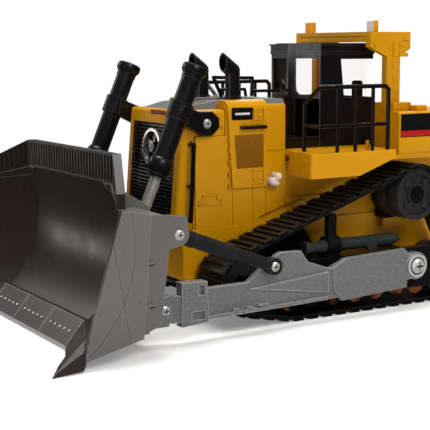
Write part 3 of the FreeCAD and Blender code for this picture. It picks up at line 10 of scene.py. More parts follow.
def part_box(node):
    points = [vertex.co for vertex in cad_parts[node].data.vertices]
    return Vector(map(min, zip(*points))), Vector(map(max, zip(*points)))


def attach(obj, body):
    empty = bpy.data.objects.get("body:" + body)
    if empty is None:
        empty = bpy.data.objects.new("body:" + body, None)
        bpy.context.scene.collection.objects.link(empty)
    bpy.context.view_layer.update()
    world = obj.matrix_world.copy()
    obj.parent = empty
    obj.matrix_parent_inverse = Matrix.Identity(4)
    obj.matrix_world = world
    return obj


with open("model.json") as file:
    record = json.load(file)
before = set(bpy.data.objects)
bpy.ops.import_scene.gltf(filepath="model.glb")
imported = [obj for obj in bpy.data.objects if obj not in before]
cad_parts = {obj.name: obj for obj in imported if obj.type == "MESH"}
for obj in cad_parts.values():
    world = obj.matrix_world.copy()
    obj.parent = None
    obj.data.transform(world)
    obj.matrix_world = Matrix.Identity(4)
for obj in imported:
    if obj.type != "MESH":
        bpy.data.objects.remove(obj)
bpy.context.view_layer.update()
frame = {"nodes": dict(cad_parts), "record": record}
NODES = frame["nodes"]
SLOT_OF = {part["node"]: part["material_slot"] for part in frame["record"]["subparts"]}
MM = 0.001

# ---- camera and studio -----------------------------------------------------
CAMERA_AT = Vector((220.783, 332.346, 87.722)) * MM
CAMERA_AZIMUTH = math.radians(-121.196)
CAMERA_DOWN = math.radians(8.319)
CAMERA_ROLL = math.radians(-0.204)
LENS = 95.42


def make_camera():
    """Camera in front of the left side, a little above the hood."""
    forward = Vector((math.cos(CAMERA_AZIMUTH) * math.cos(CAMERA_DOWN),
                      math.sin(CAMERA_AZIMUTH) * math.cos(CAMERA_DOWN), -math.sin(CAMERA_DOWN)))
    right = forward.cross(Vector((0, 0, 1))).normalized()
    up = right.cross(forward)
    cos, sin = math.cos(CAMERA_ROLL), math.sin(CAMERA_ROLL)
    x_axis = cos * right + sin * up
    y_axis = cos * up - sin * right
    data = bpy.data.cameras.new("camera")
    data.lens = LENS
    data.sensor_width = 36.0
    data.clip_start = 0.01
    camera = bpy.data.objects.new("camera", data)
    bpy.context.scene.collection.objects.link(camera)
    camera.matrix_world = Matrix((x_axis, y_axis, -forward)).transposed().to_4x4()
    camera.matrix_world.translation = CAMERA_AT
    bpy.context.scene.camera = camera


def soft_box(name, at, aim, width, height, power, tint=(1.0, 1.0, 1.0)):
    """An area light at a place in millimetres, turned towards another."""
    data = bpy.data.lights.new(name, "AREA")
    data.shape = "RECTANGLE"
    data.size = width * MM
    data.size_y = height * MM
    data.energy = power
    data.color = tint
    light = bpy.data.objects.new(name, data)
    bpy.context.scene.collection.objects.link(light)
    at, aim = Vector(at) * MM, Vector(aim) * MM
    light.rotation_euler = (aim - at).to_track_quat("-Z", "Y").to_euler()
    light.location = at


def make_world():
    """White where the camera sees past the floor, and a dimmer, graded grey for the light it gives."""
    world = bpy.data.worlds.new("studio")
    bpy.context.scene.world = world
    world.use_nodes = True
    tree = world.node_tree
    tree.nodes.clear()
    path = tree.nodes.new("ShaderNodeLightPath")
    coords = tree.nodes.new("ShaderNodeTexCoord")
    split = tree.nodes.new("ShaderNodeSeparateXYZ")
    grade = tree.nodes.new("ShaderNodeMapRange")
    grade.inputs["From Min"].default_value = -0.2
    grade.inputs["From Max"].default_value = 1.0
    grade.inputs["To Min"].default_value = 0.03
    grade.inputs["To Max"].default_value = 0.32
    strength = tree.nodes.new("ShaderNodeMix")
    strength.data_type = "FLOAT"
    strength.inputs[3].default_value = 1.02
    background = tree.nodes.new("ShaderNodeBackground")
    background.inputs["Color"].default_value = (1.0, 1.0, 1.0, 1.0)
    out = tree.nodes.new("ShaderNodeOutputWorld")
    tree.links.new(coords.outputs["Generated"], split.inputs[0])
    tree.links.new(split.outputs["Z"], grade.inputs["Value"])
    tree.links.new(path.outputs["Is Camera Ray"], strength.inputs[0])
    tree.links.new(grade.outputs["Result"], strength.inputs[2])
    tree.links.new(strength.outputs[0], background.inputs["Strength"])
    tree.links.new(background.outputs[0], out.inputs["Surface"])


def make_floor():
    """A plain pale floor that runs into white far from the model."""
    mesh = bpy.data.meshes.new("floor")
    shape = bmesh.new()
    bmesh.ops.create_circle(shape, cap_ends=True, segments=96, radius=30.0)
    shape.to_mesh(mesh)
    shape.free()
    floor = bpy.data.objects.new("floor", mesh)
    bpy.context.scene.collection.objects.link(floor)
    floor.location.z = -0.05 * MM
    mat = bpy.data.materials.new("floor_pale")
    mat.use_nodes = True
    tree = mat.node_tree
    tree.nodes.clear()
    coords = tree.nodes.new("ShaderNodeTexCoord")
    reach = tree.nodes.new("ShaderNodeVectorMath")
    reach.operation = "LENGTH"
    fade = tree.nodes.new("ShaderNodeMapRange")
    fade.interpolation_type = "SMOOTHSTEP"
    fade.inputs["From Min"].default_value = 0.10
    fade.inputs["From Max"].default_value = 0.55
    near = tree.nodes.new("ShaderNodeBsdfDiffuse")
    near.inputs["Color"].default_value = (0.92, 0.92, 0.92, 1)
    far = tree.nodes.new("ShaderNodeEmission")
    far.inputs["Strength"].default_value = 1.02
    lift = tree.nodes.new("ShaderNodeEmission")
    lift.inputs["Strength"].default_value = 0.22
    both = tree.nodes.new("ShaderNodeAddShader")
    mix = tree.nodes.new("ShaderNodeMixShader")
    out = tree.nodes.new("ShaderNodeOutputMaterial")
    tree.links.new(coords.outputs["Object"], reach.inputs[0])
    tree.links.new(reach.outputs["Value"], fade.inputs["Value"])
    tree.links.new(fade.outputs["Result"], mix.inputs[0])
    tree.links.new(near.outputs[0], both.inputs[0])
    tree.links.new(lift.outputs[0], both.inputs[1])
    tree.links.new(both.outputs[0], mix.inputs[1])
    tree.links.new(far.outputs[0], mix.inputs[2])
    tree.links.new(mix.outputs[0], out.inputs["Surface"])
    mesh.materials.append(mat)
    floor.visible_glossy = False


# ---- finishes --------------------------------------------------------------
def srgb(red, green, blue):
    """Linear colour of an 8-bit display colour."""
    def channel(value):
        value /= 255.0
        return value / 12.92 if value <= 0.04045 else ((value + 0.055) / 1.055) ** 2.4
    return (channel(red), channel(green), channel(blue), 1.0)


class Finish:
    """A Principled material whose colour, roughness and relief come from procedural nodes."""

    def __init__(self, name, colour, rough, metal=0.0, specular=0.5, index=1.5):
        self.mat = bpy.data.materials.new(name)
        self.mat.use_nodes = True
        self.tree = self.mat.node_tree
        self.shader = next(n for n in self.tree.nodes if n.type == "BSDF_PRINCIPLED")
        self.shader.inputs["Metallic"].default_value = metal
        self.shader.inputs["Specular IOR Level"].default_value = specular
        self.shader.inputs["IOR"].default_value = index
        coords = self.add("TexCoord")
        scale = self.add("VectorMath")
        scale.operation = "SCALE"
        scale.inputs["Scale"].default_value = 1.0 / MM
        self.link(coords.outputs["Object"], scale.inputs[0])
        self.place = scale.outputs[0]
        self.facing = coords.outputs["Normal"]
        self.colour = colour
        self.rough = rough
        self.relief = []

    def add(self, kind):
        return self.tree.nodes.new("ShaderNode" + kind)

    def link(self, source, target):
        self.tree.links.new(source, target)

    def put(self, value, socket):
        """Links a node's output to a socket, or sets the socket to a plain value."""
        if isinstance(value, bpy.types.NodeSocket):
            self.link(value, socket)
        else:
            socket.default_value = value

    def noise(self, size, detail=2.0, stretch=None):
        """Noise with features of about a size in millimetres, stretched along axes if asked."""
        node = self.add("TexNoise")
        node.inputs["Scale"].default_value = 1.0 / size
        node.inputs["Detail"].default_value = detail
        node.inputs["Roughness"].default_value = 0.5
        place = self.place
        if stretch:
            bend = self.add("VectorMath")
            bend.operation = "MULTIPLY"
            bend.inputs[1].default_value = stretch
            self.link(place, bend.inputs[0])
            place = bend.outputs[0]
        self.link(place, node.inputs["Vector"])
        return node.outputs["Fac"]

    def cells(self, size):
        """A random grey for each cell of a pattern."""
        node = self.add("TexVoronoi")
        node.inputs["Scale"].default_value = 1.0 / size
        node.inputs["Randomness"].default_value = 1.0
        self.link(self.place, node.inputs["Vector"])
        split = self.add("SeparateXYZ")
        self.link(node.outputs["Color"], split.inputs[0])
        return split.outputs[0]

    def ramp(self, value, low, high, to_low=0.0, to_high=1.0):
        node = self.add("MapRange")
        node.inputs["From Min"].default_value = low
        node.inputs["From Max"].default_value = high
        node.inputs["To Min"].default_value = to_low
        node.inputs["To Max"].default_value = to_high
        self.link(value, node.inputs["Value"])
        return node.outputs["Result"]

    def maths(self, operation, a, b):
        node = self.add("Math")
        node.operation = operation
        self.put(a, node.inputs[0])
        self.put(b, node.inputs[1])
        return node.outputs[0]

    def tint(self, share, colour):
        """Mixes another colour over what is there, by a share from nodes."""
        node = self.add("Mix")
        node.data_type = "RGBA"
        self.put(share, node.inputs[0])
        self.put(self.colour, node.inputs[6])
        self.put(colour, node.inputs[7])
        self.colour = node.outputs[2]

    def tone(self, size, amount):
        """Slow, cloudy change of brightness, such as sprayed paint or moulded plastic has."""
        base = self.colour
        cloud = self.noise(size, 3.0)
        darker = tuple(c * (1.0 - amount) for c in base[:3]) + (1.0,)
        lighter = tuple(min(1.0, c * (1.0 + amount)) for c in base[:3]) + (1.0,)
        self.colour = darker
        self.tint(self.ramp(cloud, 0.3, 0.7), lighter)

    def facing_x(self, low, high, colour, outward=False):
        """Another colour on the sides that face the front; with outward, the back on the right half."""
        split = self.add("SeparateXYZ")
        self.link(self.facing, split.inputs[0])
        facing = split.outputs[0]
        if outward:
            place = self.add("SeparateXYZ")
            self.link(self.place, place.inputs[0])
            side = self.add("Math")
            side.operation = "SIGN"
            self.link(place.outputs[1], side.inputs[0])
            facing = self.maths("MULTIPLY", facing, side.outputs[0])
        self.tint(self.ramp(facing, low, high), colour)

    def corners(self, radius, colour, amount=0.7):
        """Painted highlight: a thin lighter line where faces meet, standing in for the light a rounded edge
        catches.
        """
        bevel = self.add("Bevel")
        bevel.samples = 4
        bevel.inputs["Radius"].default_value = radius * MM
        geometry = self.add("NewGeometry")
        dot = self.add("VectorMath")
        dot.operation = "DOT_PRODUCT"
        self.link(bevel.outputs[0], dot.inputs[0])
        self.link(geometry.outputs["Normal"], dot.inputs[1])
        self.tint(self.ramp(dot.outputs["Value"], 0.955, 0.80, 0.0, amount), colour)

    def painted_crease_shade(self, reach, colour, amount):
        """Painted shade: a deeper colour in creases and inner angles, where shade falls."""
        shade = self.add("AmbientOcclusion")
        shade.samples = 4
        shade.inputs["Distance"].default_value = reach * MM
        self.tint(self.ramp(shade.outputs["AO"], 0.75, 0.25, 0.0, amount), colour)

    def specks(self, size, colour, share, amount=0.6):
        """Small flakes: one cell in some shows another colour."""
        self.tint(self.ramp(self.cells(size), 1.0 - share, 1.0 - share + 0.03, 0.0, amount), colour)

    def emboss(self, value, depth):
        """Adds relief of a depth in millimetres."""
        self.relief.append((value, depth))

    def vary(self, value, low, high, amount):
        """Adds a share of roughness where a pattern is strong."""
        change = self.ramp(value, low, high, -amount, amount)
        self.rough = self.maths("ADD", self.rough, change)

    def done(self):
        self.put(self.colour, self.shader.inputs["Base Color"])
        self.put(self.rough, self.shader.inputs["Roughness"])
        normal = None
        for value, depth in self.relief:
            bump = self.add("Bump")
            bump.inputs["Strength"].default_value = 1.0
            bump.inputs["Distance"].default_value = depth * MM
            self.link(value, bump.inputs["Height"])
            if normal:
                self.link(normal, bump.inputs["Normal"])
            normal = bump.outputs[0]
        if normal:
            self.link(normal, self.shader.inputs["Normal"])
        return self.mat


# the fourth and fifth colours are the painted shade in creases and the painted highlight on edges
def painted(name, colour, rough, deep, light, metal=0.0, peel=0.010, reach=1.6, specular=0.5,
            edge=0.6, crease_shade=0.5, index=1.5, rim=0.30):
    """Sprayed paint on cast metal: orange peel, cloudy tone, painted shade in creases, painted highlights on
    edges.
    """
    f = Finish(name, colour, rough, metal, specular, index)
    f.tone(22.0, 0.06)
    # painted shade in creases
    f.painted_crease_shade(reach, deep, crease_shade)
    # painted highlight along edges
    f.corners(rim, light, edge)
    f.vary(f.noise(9.0, 4.0), 0.3, 0.7, 0.05)
    f.emboss(f.noise(0.9, 2.0), peel)
    f.emboss(f.noise(0.22, 1.0), peel * 0.5)
    return f


def plastic(name, colour, rough, light, tone=0.12, grain=0.008, size=0.28, specular=0.28):
    """Moulded plastic: fine eroded texture, faint flow lines and painted highlights on edges."""
    f = Finish(name, colour, rough, specular=specular, index=1.4)
    f.tone(14.0, tone)
    # painted highlight along edges
    f.corners(0.22, light, 0.45)
    f.vary(f.noise(5.0, 4.0, stretch=(1.0, 1.0, 0.3)), 0.3, 0.7, 0.07)
    f.emboss(f.noise(size, 2.0), grain)
    f.emboss(f.noise(2.5, 2.0), grain * 0.6)
    return f


def metal(name, colour, rough, stretch=(1.0, 1.0, 6.0), share=1.0):
    """Bare or plated metal: drawn lines, faint smears and small marks."""
    f = Finish(name, colour, rough, share)
    f.tone(8.0, 0.05)
    lines = f.noise(0.5, 3.0, stretch=stretch)
    f.vary(lines, 0.3, 0.7, 0.06)
    f.vary(f.noise(6.0, 3.0), 0.4, 0.7, 0.04)
    f.emboss(lines, 0.003)
    return f


BADGE_Z = 55.6             # height of the chrome badge's centre on the grille


def make_finishes():
    """One finish for each material slot, and one for the badge."""
    made = {}
    made["yellow_paint"] = painted("paint_yellow", srgb(200, 139, 0), 0.38, srgb(124, 50, 0),
                                   srgb(246, 190, 50), specular=0.16, crease_shade=0.65)
    board = painted("paint_blade", srgb(100, 99, 96), 0.30, srgb(20, 16, 16), srgb(178, 172, 166),
                    specular=0.40, index=1.4)
    # painted shade: the faces toward the front, the hollow among them, get a dark brown
    board.facing_x(0.35, 0.60, srgb(38, 25, 27))
    made["blade_grey"] = board
    guard = painted("paint_guard", srgb(36, 33, 31), 0.36, srgb(8, 6, 6), srgb(104, 98, 94),
                    specular=0.3, index=1.4)
    # painted shade: a darker colour on the faces toward the front
    guard.facing_x(0.45, 0.70, srgb(30, 20, 19))
    made["guard_black"] = guard
    made["edge_steel"] = painted("paint_edge", srgb(50, 40, 41), 0.32, srgb(14, 10, 10),
                                 srgb(205, 198, 190), specular=0.5)
    arm = painted("paint_arm", srgb(126, 126, 129), 0.38, srgb(20, 20, 21), srgb(240, 240, 238),
                  metal=0.35, peel=0.008, reach=1.1, edge=0.95, crease_shade=0.95, rim=0.50)
    arm.specks(0.30, srgb(170, 170, 170), 0.20, 0.30)
    arm.specks(0.33, srgb(70, 70, 72), 0.20, 0.30)
    made["arm_grey"] = arm
    made["cover_grey"] = plastic("plastic_cover", srgb(104, 105, 102), 0.40, srgb(176, 176, 172))
    made["frame_black"] = plastic("plastic_frame", srgb(18, 17, 18), 0.34, srgb(84, 82, 82),
                                  grain=0.012)
    made["black_plastic"] = plastic("plastic_black", srgb(13, 10, 12), 0.28, srgb(120, 114, 112),
                                    specular=0.42)
    made["brace_black"] = plastic("plastic_brace", srgb(32, 31, 33), 0.33, srgb(120, 120, 120))
    made["recoil_grey"] = plastic("plastic_recoil", srgb(50, 56, 54), 0.34, srgb(150, 158, 154))
    # painted shade: the orange rollers are coloured dark brown, with orange left only in noise patches
    roller = plastic("plastic_roller", srgb(30, 22, 18), 0.42, srgb(90, 70, 56))
    roller.tint(roller.ramp(roller.noise(9.0, 1.0), 0.50, 0.60, 0.0, 0.9), srgb(178, 98, 34))
    made["roller_orange"] = roller
    belt = plastic("plastic_belt", srgb(13, 12, 12), 0.36, srgb(118, 116, 114), grain=0.012, size=0.5)
    belt.tint(belt.ramp(belt.noise(3.5, 4.0), 0.52, 0.75, 0.0, 0.25), srgb(28, 25, 24))
    made["track_black"] = belt
    made["wheel_black"] = plastic("plastic_wheel", srgb(42, 40, 41), 0.34, srgb(120, 118, 116))
    made["chrome"] = metal("metal_chrome", srgb(206, 202, 196), 0.22, share=0.7)
    badge = metal("metal_badge", srgb(214, 210, 204), 0.18, share=0.8)
    middle = badge.add("VectorMath")
    middle.operation = "MULTIPLY_ADD"
    middle.inputs[1].default_value = (0.0, 1.0, 1.0)
    middle.inputs[2].default_value = (0.0, 0.0, -BADGE_Z)
    radius = badge.add("VectorMath")
    radius.operation = "LENGTH"
    badge.link(badge.place, middle.inputs[0])
    badge.link(middle.outputs[0], radius.inputs[0])
    inside = badge.ramp(radius.outputs["Value"], 5.3, 5.0)
    patches = badge.ramp(badge.noise(2.6, 2.0), 0.42, 0.58, 0.55, 1.0)
    badge.tint(badge.maths("MULTIPLY", inside, patches), srgb(26, 24, 25))
    made["badge"] = badge
    made["screw_steel"] = metal("metal_screw", srgb(214, 212, 206), 0.34, stretch=(1, 1, 1), share=0.45)
    lamp = painted("paint_lamp", srgb(216, 146, 10), 0.34, srgb(120, 46, 0), srgb(250, 190, 60),
                   specular=0.35)
    lamp.facing_x(0.45, 0.60, srgb(205, 205, 202), outward=True)
    made["lamp_silver"] = lamp
    made["lamp_white"] = plastic("plastic_lamp", srgb(226, 208, 198), 0.34, srgb(255, 250, 245),
                                 tone=0.03)
    pane = Finish("plastic_pane", srgb(250, 249, 247), 0.03, specular=0.5)
    split = pane.add("SeparateXYZ")
    pane.link(pane.place, split.inputs[0])
    pane.tint(pane.ramp(split.outputs[2], 70.8, 70.2), srgb(96, 50, 48))
    pane.vary(pane.noise(7.0, 3.0), 0.5, 0.8, 0.03)
    pane.shader.inputs["Transmission Weight"].default_value = 1.0
    pane.shader.inputs["IOR"].default_value = 1.04
    made["clear_pane"] = pane
    return {slot: f.done() for slot, f in made.items()}


# ---- shapes ----------------------------------------------------------------
SMOOTH_ANGLE = math.radians(32.0)    # flatter edges are shaded smooth
BEVEL_ANGLE = math.radians(38.0)     # sharper edges are rounded
CAD_SOFT_MM = 0.14                   # usual edge rounding of the CAD nodes


def make_smoothing():
    """Node group that shades smooth across shallow edges and sharp across the rest."""
    group = bpy.data.node_groups.new("shade_by_angle", "GeometryNodeTree")
    group.interface.new_socket("Geometry", in_out="INPUT", socket_type="NodeSocketGeometry")
    group.interface.new_socket("Geometry", in_out="OUTPUT", socket_type="NodeSocketGeometry")
    start = group.nodes.new("NodeGroupInput")
    end = group.nodes.new("NodeGroupOutput")
    angle = group.nodes.new("GeometryNodeInputMeshEdgeAngle")
    sharp = group.nodes.new("FunctionNodeCompare")
    sharp.data_type = "FLOAT"
    sharp.operation = "GREATER_THAN"
    sharp.inputs[1].default_value = SMOOTH_ANGLE
    normal = group.nodes.new("GeometryNodeSetMeshNormal")
    normal.mode = "SHARPNESS"
    normal.inputs["Remove Custom"].default_value = True
    normal.inputs["Face Sharpness"].default_value = False
    group.links.new(start.outputs[0], normal.inputs["Mesh"])
    group.links.new(angle.outputs["Unsigned Angle"], sharp.inputs[0])
    group.links.new(sharp.outputs[0], normal.inputs["Edge Sharpness"])
    group.links.new(normal.outputs[0], end.inputs[0])
    return group


def soften(obj, width, group):
    """Rounds sharp edges by a width in millimetres and shades the rest by angle."""
    bevel = obj.modifiers.new("bevel", "BEVEL")
    bevel.width = width * MM
    bevel.segments = 2
    bevel.limit_method = "ANGLE"
    bevel.angle_limit = BEVEL_ANGLE
    bevel.use_clamp_overlap = False
    bevel.loop_slide = False
    smooth = obj.modifiers.new("smooth", "NODES")
    smooth.node_group = group


class Form:
    """Collects closed solids in millimetres on the left side and hands them over as one piece."""

    def __init__(self):
        self.shape = bmesh.new()

    def prism(self, ring, shift):
        """Solid between a flat ring of points and the same ring moved by a shift."""
        low = [self.shape.verts.new(Vector(p)) for p in ring]
        high = [self.shape.verts.new(Vector(p) + Vector(shift)) for p in ring]
        count = len(ring)
        self.shape.faces.new(low)
        self.shape.faces.new(high[::-1])
        for k in range(count):
            self.shape.faces.new([low[k], high[k], high[(k + 1) % count], low[(k + 1) % count]])
        return self

    def side(self, outline, y0, y1):
        return self.prism([(x, y0, z) for x, z in outline], (0, y1 - y0, 0))

    def front(self, outline, x0, x1):
        return self.prism([(x0, y, z) for y, z in outline], (x1 - x0, 0, 0))

    def bar(self, x0, x1, y0, y1, z0, z1):
        return self.side([(x0, z0), (x1, z0), (x1, z1), (x0, z1)], y0, y1)

    def turned(self, at, axis, profile, sides=20, ring_shaped=False):
        """Solid of revolution from a profile of (distance along the axis, radius) pairs."""
        axis = Vector(axis).normalized()
        across = axis.orthogonal().normalized()
        other = axis.cross(across)
        rings = []
        for along, radius in profile:
            ring = []
            for k in range(sides):
                turn = 2 * math.pi * k / sides
                offset = radius * (math.cos(turn) * across + math.sin(turn) * other)
                ring.append(self.shape.verts.new(Vector(at) + along * axis + offset))
            rings.append(ring)
        if ring_shaped:
            rings.append(rings[0])
        for low, high in zip(rings, rings[1:]):
            for k in range(sides):
                self.shape.faces.new([low[k], low[(k + 1) % sides], high[(k + 1) % sides], high[k]])
        if not ring_shaped:
            self.shape.faces.new(rings[0][::-1])
            self.shape.faces.new(rings[-1])
        return self

    def bead(self, at, axis, radius, height):
        """A low domed rivet or bolt head."""
        return self.turned(at, axis, [(-0.2, radius), (0.35 * height, radius), (0.8 * height, 0.72 * radius),
                                      (height, 0.3 * radius)], 14)

    def wire(self, points, radius, sides=8):
        """A round wire through some points, as short overlapping lengths with beads at the bends."""
        for a, b in zip(points, points[1:]):
            a, b = Vector(a), Vector(b)
            self.turned(a, b - a, [(-0.6 * radius, 0.5 * radius), (0, radius),
                                   ((b - a).length, radius), ((b - a).length + 0.6 * radius, 0.5 * radius)],
                        sides)
        return self

    def piece(self, name, slot, body, finish=None, soft=0.06):
        """Makes the left piece and its mirror image, or one piece when the name ends in a full stop."""
        single = name.endswith(".")
        for side, sign in ((("", 1),) if single else (("_left", 1), ("_right", -1))):
            mesh = bpy.data.meshes.new(name.rstrip(".") + side)
            copy = self.shape.copy()
            for vert in copy.verts:
                vert.co = Vector((vert.co.x, sign * vert.co.y, vert.co.z)) * MM
            bmesh.ops.recalc_face_normals(copy, faces=copy.faces)
            copy.to_mesh(mesh)
            copy.free()
            obj = bpy.data.objects.new(name.rstrip(".") + side, mesh)
            bpy.context.scene.collection.objects.link(obj)
            mesh.materials.append(finish or FINISH[slot])
            soften(obj, soft, SMOOTHING)
            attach(obj, body)


FINISH = make_finishes()
SMOOTHING = make_smoothing()
SOFT_MM = {"cutting_edge": 0.12, "radiator_grille": 0.06, "rock_guard": 0.10, "track_left": 0.10,
           "track_right": 0.10, "cab_glazing": 0.05, "cooling_fan": 0.08, "hood_cover": 0.10}
for name, obj in NODES.items():
    finish = "badge" if name == "cooling_fan" else SLOT_OF[name]
    obj.material_slots[0].material = FINISH[finish]
    soften(obj, SOFT_MM.get(name, CAD_SOFT_MM), SMOOTHING)


def extra_finishes():
    """Finishes that no CAD node carries."""
    label = plastic("label_black", srgb(16, 14, 15), 0.28, srgb(60, 58, 58), grain=0.002)
    pale = plastic("label_pale", srgb(206, 204, 198), 0.34, srgb(230, 230, 226), tone=0.04, grain=0.002)
    red = plastic("label_red", srgb(170, 22, 26), 0.30, srgb(210, 70, 70), tone=0.05, grain=0.002)
    # one brown finish for the printed field above the radiator and for the painted shade in the hull's groove
    label_and_groove_shade = plastic("label_brown_and_groove_shade", srgb(112, 44, 12), 0.36, srgb(150, 80, 40), tone=0.1, grain=0.004)
    wires = metal("mesh_wire", srgb(168, 112, 62), 0.42, stretch=(1, 1, 1))
    # bright metal for the silver bolts and stays, and for painted highlights on the edge plates' joints
    bright = metal("edge_bright", srgb(214, 206, 196), 0.36, stretch=(1, 1, 1))
    # pale metal for wear and painted highlight on the blade's flange
    worn_and_highlit = metal("edge_wear_and_highlight", srgb(132, 124, 118), 0.40, stretch=(1, 1, 1))
    under = plastic("mesh_shade", srgb(96, 58, 24), 0.6, srgb(120, 80, 40), grain=0.004)
    # near-black painted shade for recesses
    deep = plastic("recess_dark", srgb(7, 6, 6), 0.6, srgb(20, 18, 18), grain=0.004)
    found = {"label": label, "pale": pale, "red": red, "label_and_groove_shade": label_and_groove_shade, "wires": wires, "bright": bright,
             "worn_and_highlit": worn_and_highlit, "under": under, "deep": deep}
    return {name: f.done() for name, f in found.items()}


EXTRA = extra_finishes()

# ---- engine doors and panels -----------------------------------------------
DOOR_Y = 19.8              # outer face of the engine doors
PANEL_Y = 18.9             # outer face of the hood below and in front of them


def latch(x0, x1, z0, z1):
    """Moulded latch: a raised frame with corner lugs and a small cross inside."""
    form = Form()
    bar = 0.42
    foot, top = DOOR_Y - 0.1, DOOR_Y + 0.42
    form.bar(x0, x1, foot, top, z0, z0 + bar)
    form.bar(x0, x1, foot, top, z1 - bar, z1)
    form.bar(x0, x0 + bar, foot, top, z0 + bar, z1 - bar)
    form.bar(x1 - bar, x1, foot, top, z0 + bar, z1 - bar)
    mid_x, mid_z = (x0 + x1) / 2, (z0 + z1) / 2
    form.bar(mid_x - 0.95, mid_x + 0.95, foot, DOOR_Y + 0.3, mid_z - 0.28, mid_z + 0.28)
    form.bar(mid_x - 0.28, mid_x + 0.28, foot, DOOR_Y + 0.34, mid_z - 0.95, mid_z + 0.95)
    for x in (x0, x1):
        for z in (z0, z1):
            form.bead((x, DOOR_Y, z), (0, 1, 0), 0.5, 0.5)
        form.bead((x, DOOR_Y, mid_z), (0, 1, 0), 0.34, 0.4)
    return form


def make_doors():
    """Latches, hinges, label field and mesh of the engine doors."""
    latch(12.4, 16.4, 64.5, 68.3).piece("latch_upper", "yellow_paint", "root")
    latch(12.3, 16.9, 43.5, 48.2).piece("latch_lower", "yellow_paint", "root")
    knuckles = Form()
    for k in range(7):
        z = 42.2 + 3.9 * k
        knuckles.turned((25.75, DOOR_Y - 0.22, z), (0, 0, 1),
                        [(0, 0.16), (0.2, 0.36), (1.5, 0.36), (1.7, 0.16)], 12)
    knuckles.piece("door_hinges", "yellow_paint", "root")
    Form().side([(17.0, 64.6), (25.1, 64.7), (25.1, 68.7), (17.0, 68.6)], DOOR_Y - 0.05, DOOR_Y + 0.16).piece(
        "door_label", "black_plastic", "root", EXTRA["label"])
    bars = Form()
    bars.bar(18.2, 23.9, DOOR_Y + 0.1, DOOR_Y + 0.22, 66.3, 67.0)
    bars.piece("door_label_bars", "lamp_white", "root", EXTRA["pale"], 0.03)
    x0, x1, z0, z1, y = 12.7, 23.9, 48.7, 59.6, 19.35
    # painted shade: a brown backing behind the door mesh
    Form().bar(x0, x1, y - 0.25, y, z0, z1).piece("mesh_backing", "frame_black", "root", EXTRA["under"])
    mesh = Form()
    pitch = 0.62
    for k in range(int((x1 - x0) / pitch) + 1):
        x = x0 + 0.1 + k * pitch
        mesh.bar(x, x + 0.24, y - 0.05, y + 0.16, z0, z1)
    for k in range(int((z1 - z0) / pitch) + 1):
        z = z0 + 0.1 + k * pitch
        mesh.bar(x0, x1, y - 0.05, y + 0.12, z, z + 0.24)
    mesh.piece("door_mesh", "frame_black", "root", EXTRA["wires"], 0.03)


def make_panels():
    """Relief on the hood's front panels, a brown line of painted shade for the groove on the hull and the
    field above the radiator.
    """
    relief = Form()
    y = PANEL_Y
    for outline in ([(28.4, 37.1), (37.4, 37.4), (37.4, 37.9), (28.4, 37.6)],
                    [(28.4, 37.1), (28.9, 37.1), (28.9, 39.4), (28.4, 39.4)],
                    [(36.9, 37.4), (37.4, 37.4), (37.4, 39.0), (36.9, 39.0)],
                    [(28.4, 38.9), (30.2, 38.9), (30.2, 39.4), (28.4, 39.4)],
                    [(35.4, 38.6), (37.4, 38.6), (37.4, 39.1), (35.4, 39.1)],
                    [(29.9, 39.0), (30.4, 39.0), (30.4, 40.9), (29.9, 40.9)],
                    [(35.2, 38.7), (35.7, 38.7), (35.7, 40.9), (35.2, 40.9)],
                    [(29.9, 40.4), (35.7, 40.4), (35.7, 40.9), (29.9, 40.9)]):
        relief.side(outline, y - 0.1, y + 0.32)
    for x, z in ((25.7, 31.9), (3.2, 36.8), (0.9, 35.5), (41.5, 33.0), (41.5, 62.5), (28.0, 62.5)):
        relief.bead((x, y if x > 3.5 else 19.4, z), (0, 1, 0), 0.42, 0.36)
    for z in (44.0, 40.5):
        relief.bead((8.2, y, z), (0, 1, 0), 0.34, 0.3)
    relief.piece("panel_relief", "yellow_paint", "root")
    # painted shade: a brown wire along the groove on the hull
    groove = Form()
    groove.wire([(13.9, 19.38, 32.2), (7.4, 19.38, 34.2), (1.3, 19.38, 36.1), (-3.5, 19.38, 37.4)], 0.16)
    groove.piece("hull_groove_shade", "yellow_paint", "root", EXTRA["label_and_groove_shade"], 0.03)
    Form().front([(1.3, 66.6), (10.1, 66.6), (10.1, 68.0), (1.3, 68.0)], 44.2, 44.75).piece(
        "guard_plate.", "yellow_paint", "root", EXTRA["label_and_groove_shade"])


def make_cab_details():
    """Window stays, steps on the canopy's posts and the colour fields on the tank."""
    struts = Form()
    struts.wire([(-16.8, 12.0, 76.0), (-20.8, 12.0, 71.5)], 0.32)
    struts.wire([(-16.9, 12.0, 67.2), (-21.3, 12.0, 62.1)], 0.32)
    struts.piece("cab_stays", "lamp_silver", "root", EXTRA["bright"], 0.04)
    rungs = Form()
    for k in range(3):
        z = 73.2 + 4.6 * k
        rungs.bar(-42.2, -38.6, 19.2, 19.75, z, z + 1.1)
    rungs.bar(-46.4, -42.6, 22.0, 22.4, 84.6, 86.0)
    rungs.bar(-46.4, -42.6, 22.0, 22.4, 88.4, 89.8)
    rungs.bead((-38.0, 22.0, 87.6), (0, 1, 0), 0.55, 0.5)
    rungs.bead((-32.0, 22.0, 87.0), (0, 1, 0), 0.4, 0.4)
    rungs.piece("canopy_steps", "yellow_paint", "root")
    Form().side([(-34.4, 57.4), (-60.0, 57.4), (-60.0, 65.4), (-34.4, 65.4)], 33.0, 33.36).piece(
        "tank_field", "black_plastic", "root", EXTRA["label"])
    Form().side([(-34.4, 57.7), (-60.0, 57.7), (-60.0, 59.6), (-34.4, 59.6)], 33.3, 33.46).piece(
        "tank_band", "black_plastic", "root", EXTRA["red"], 0.04)


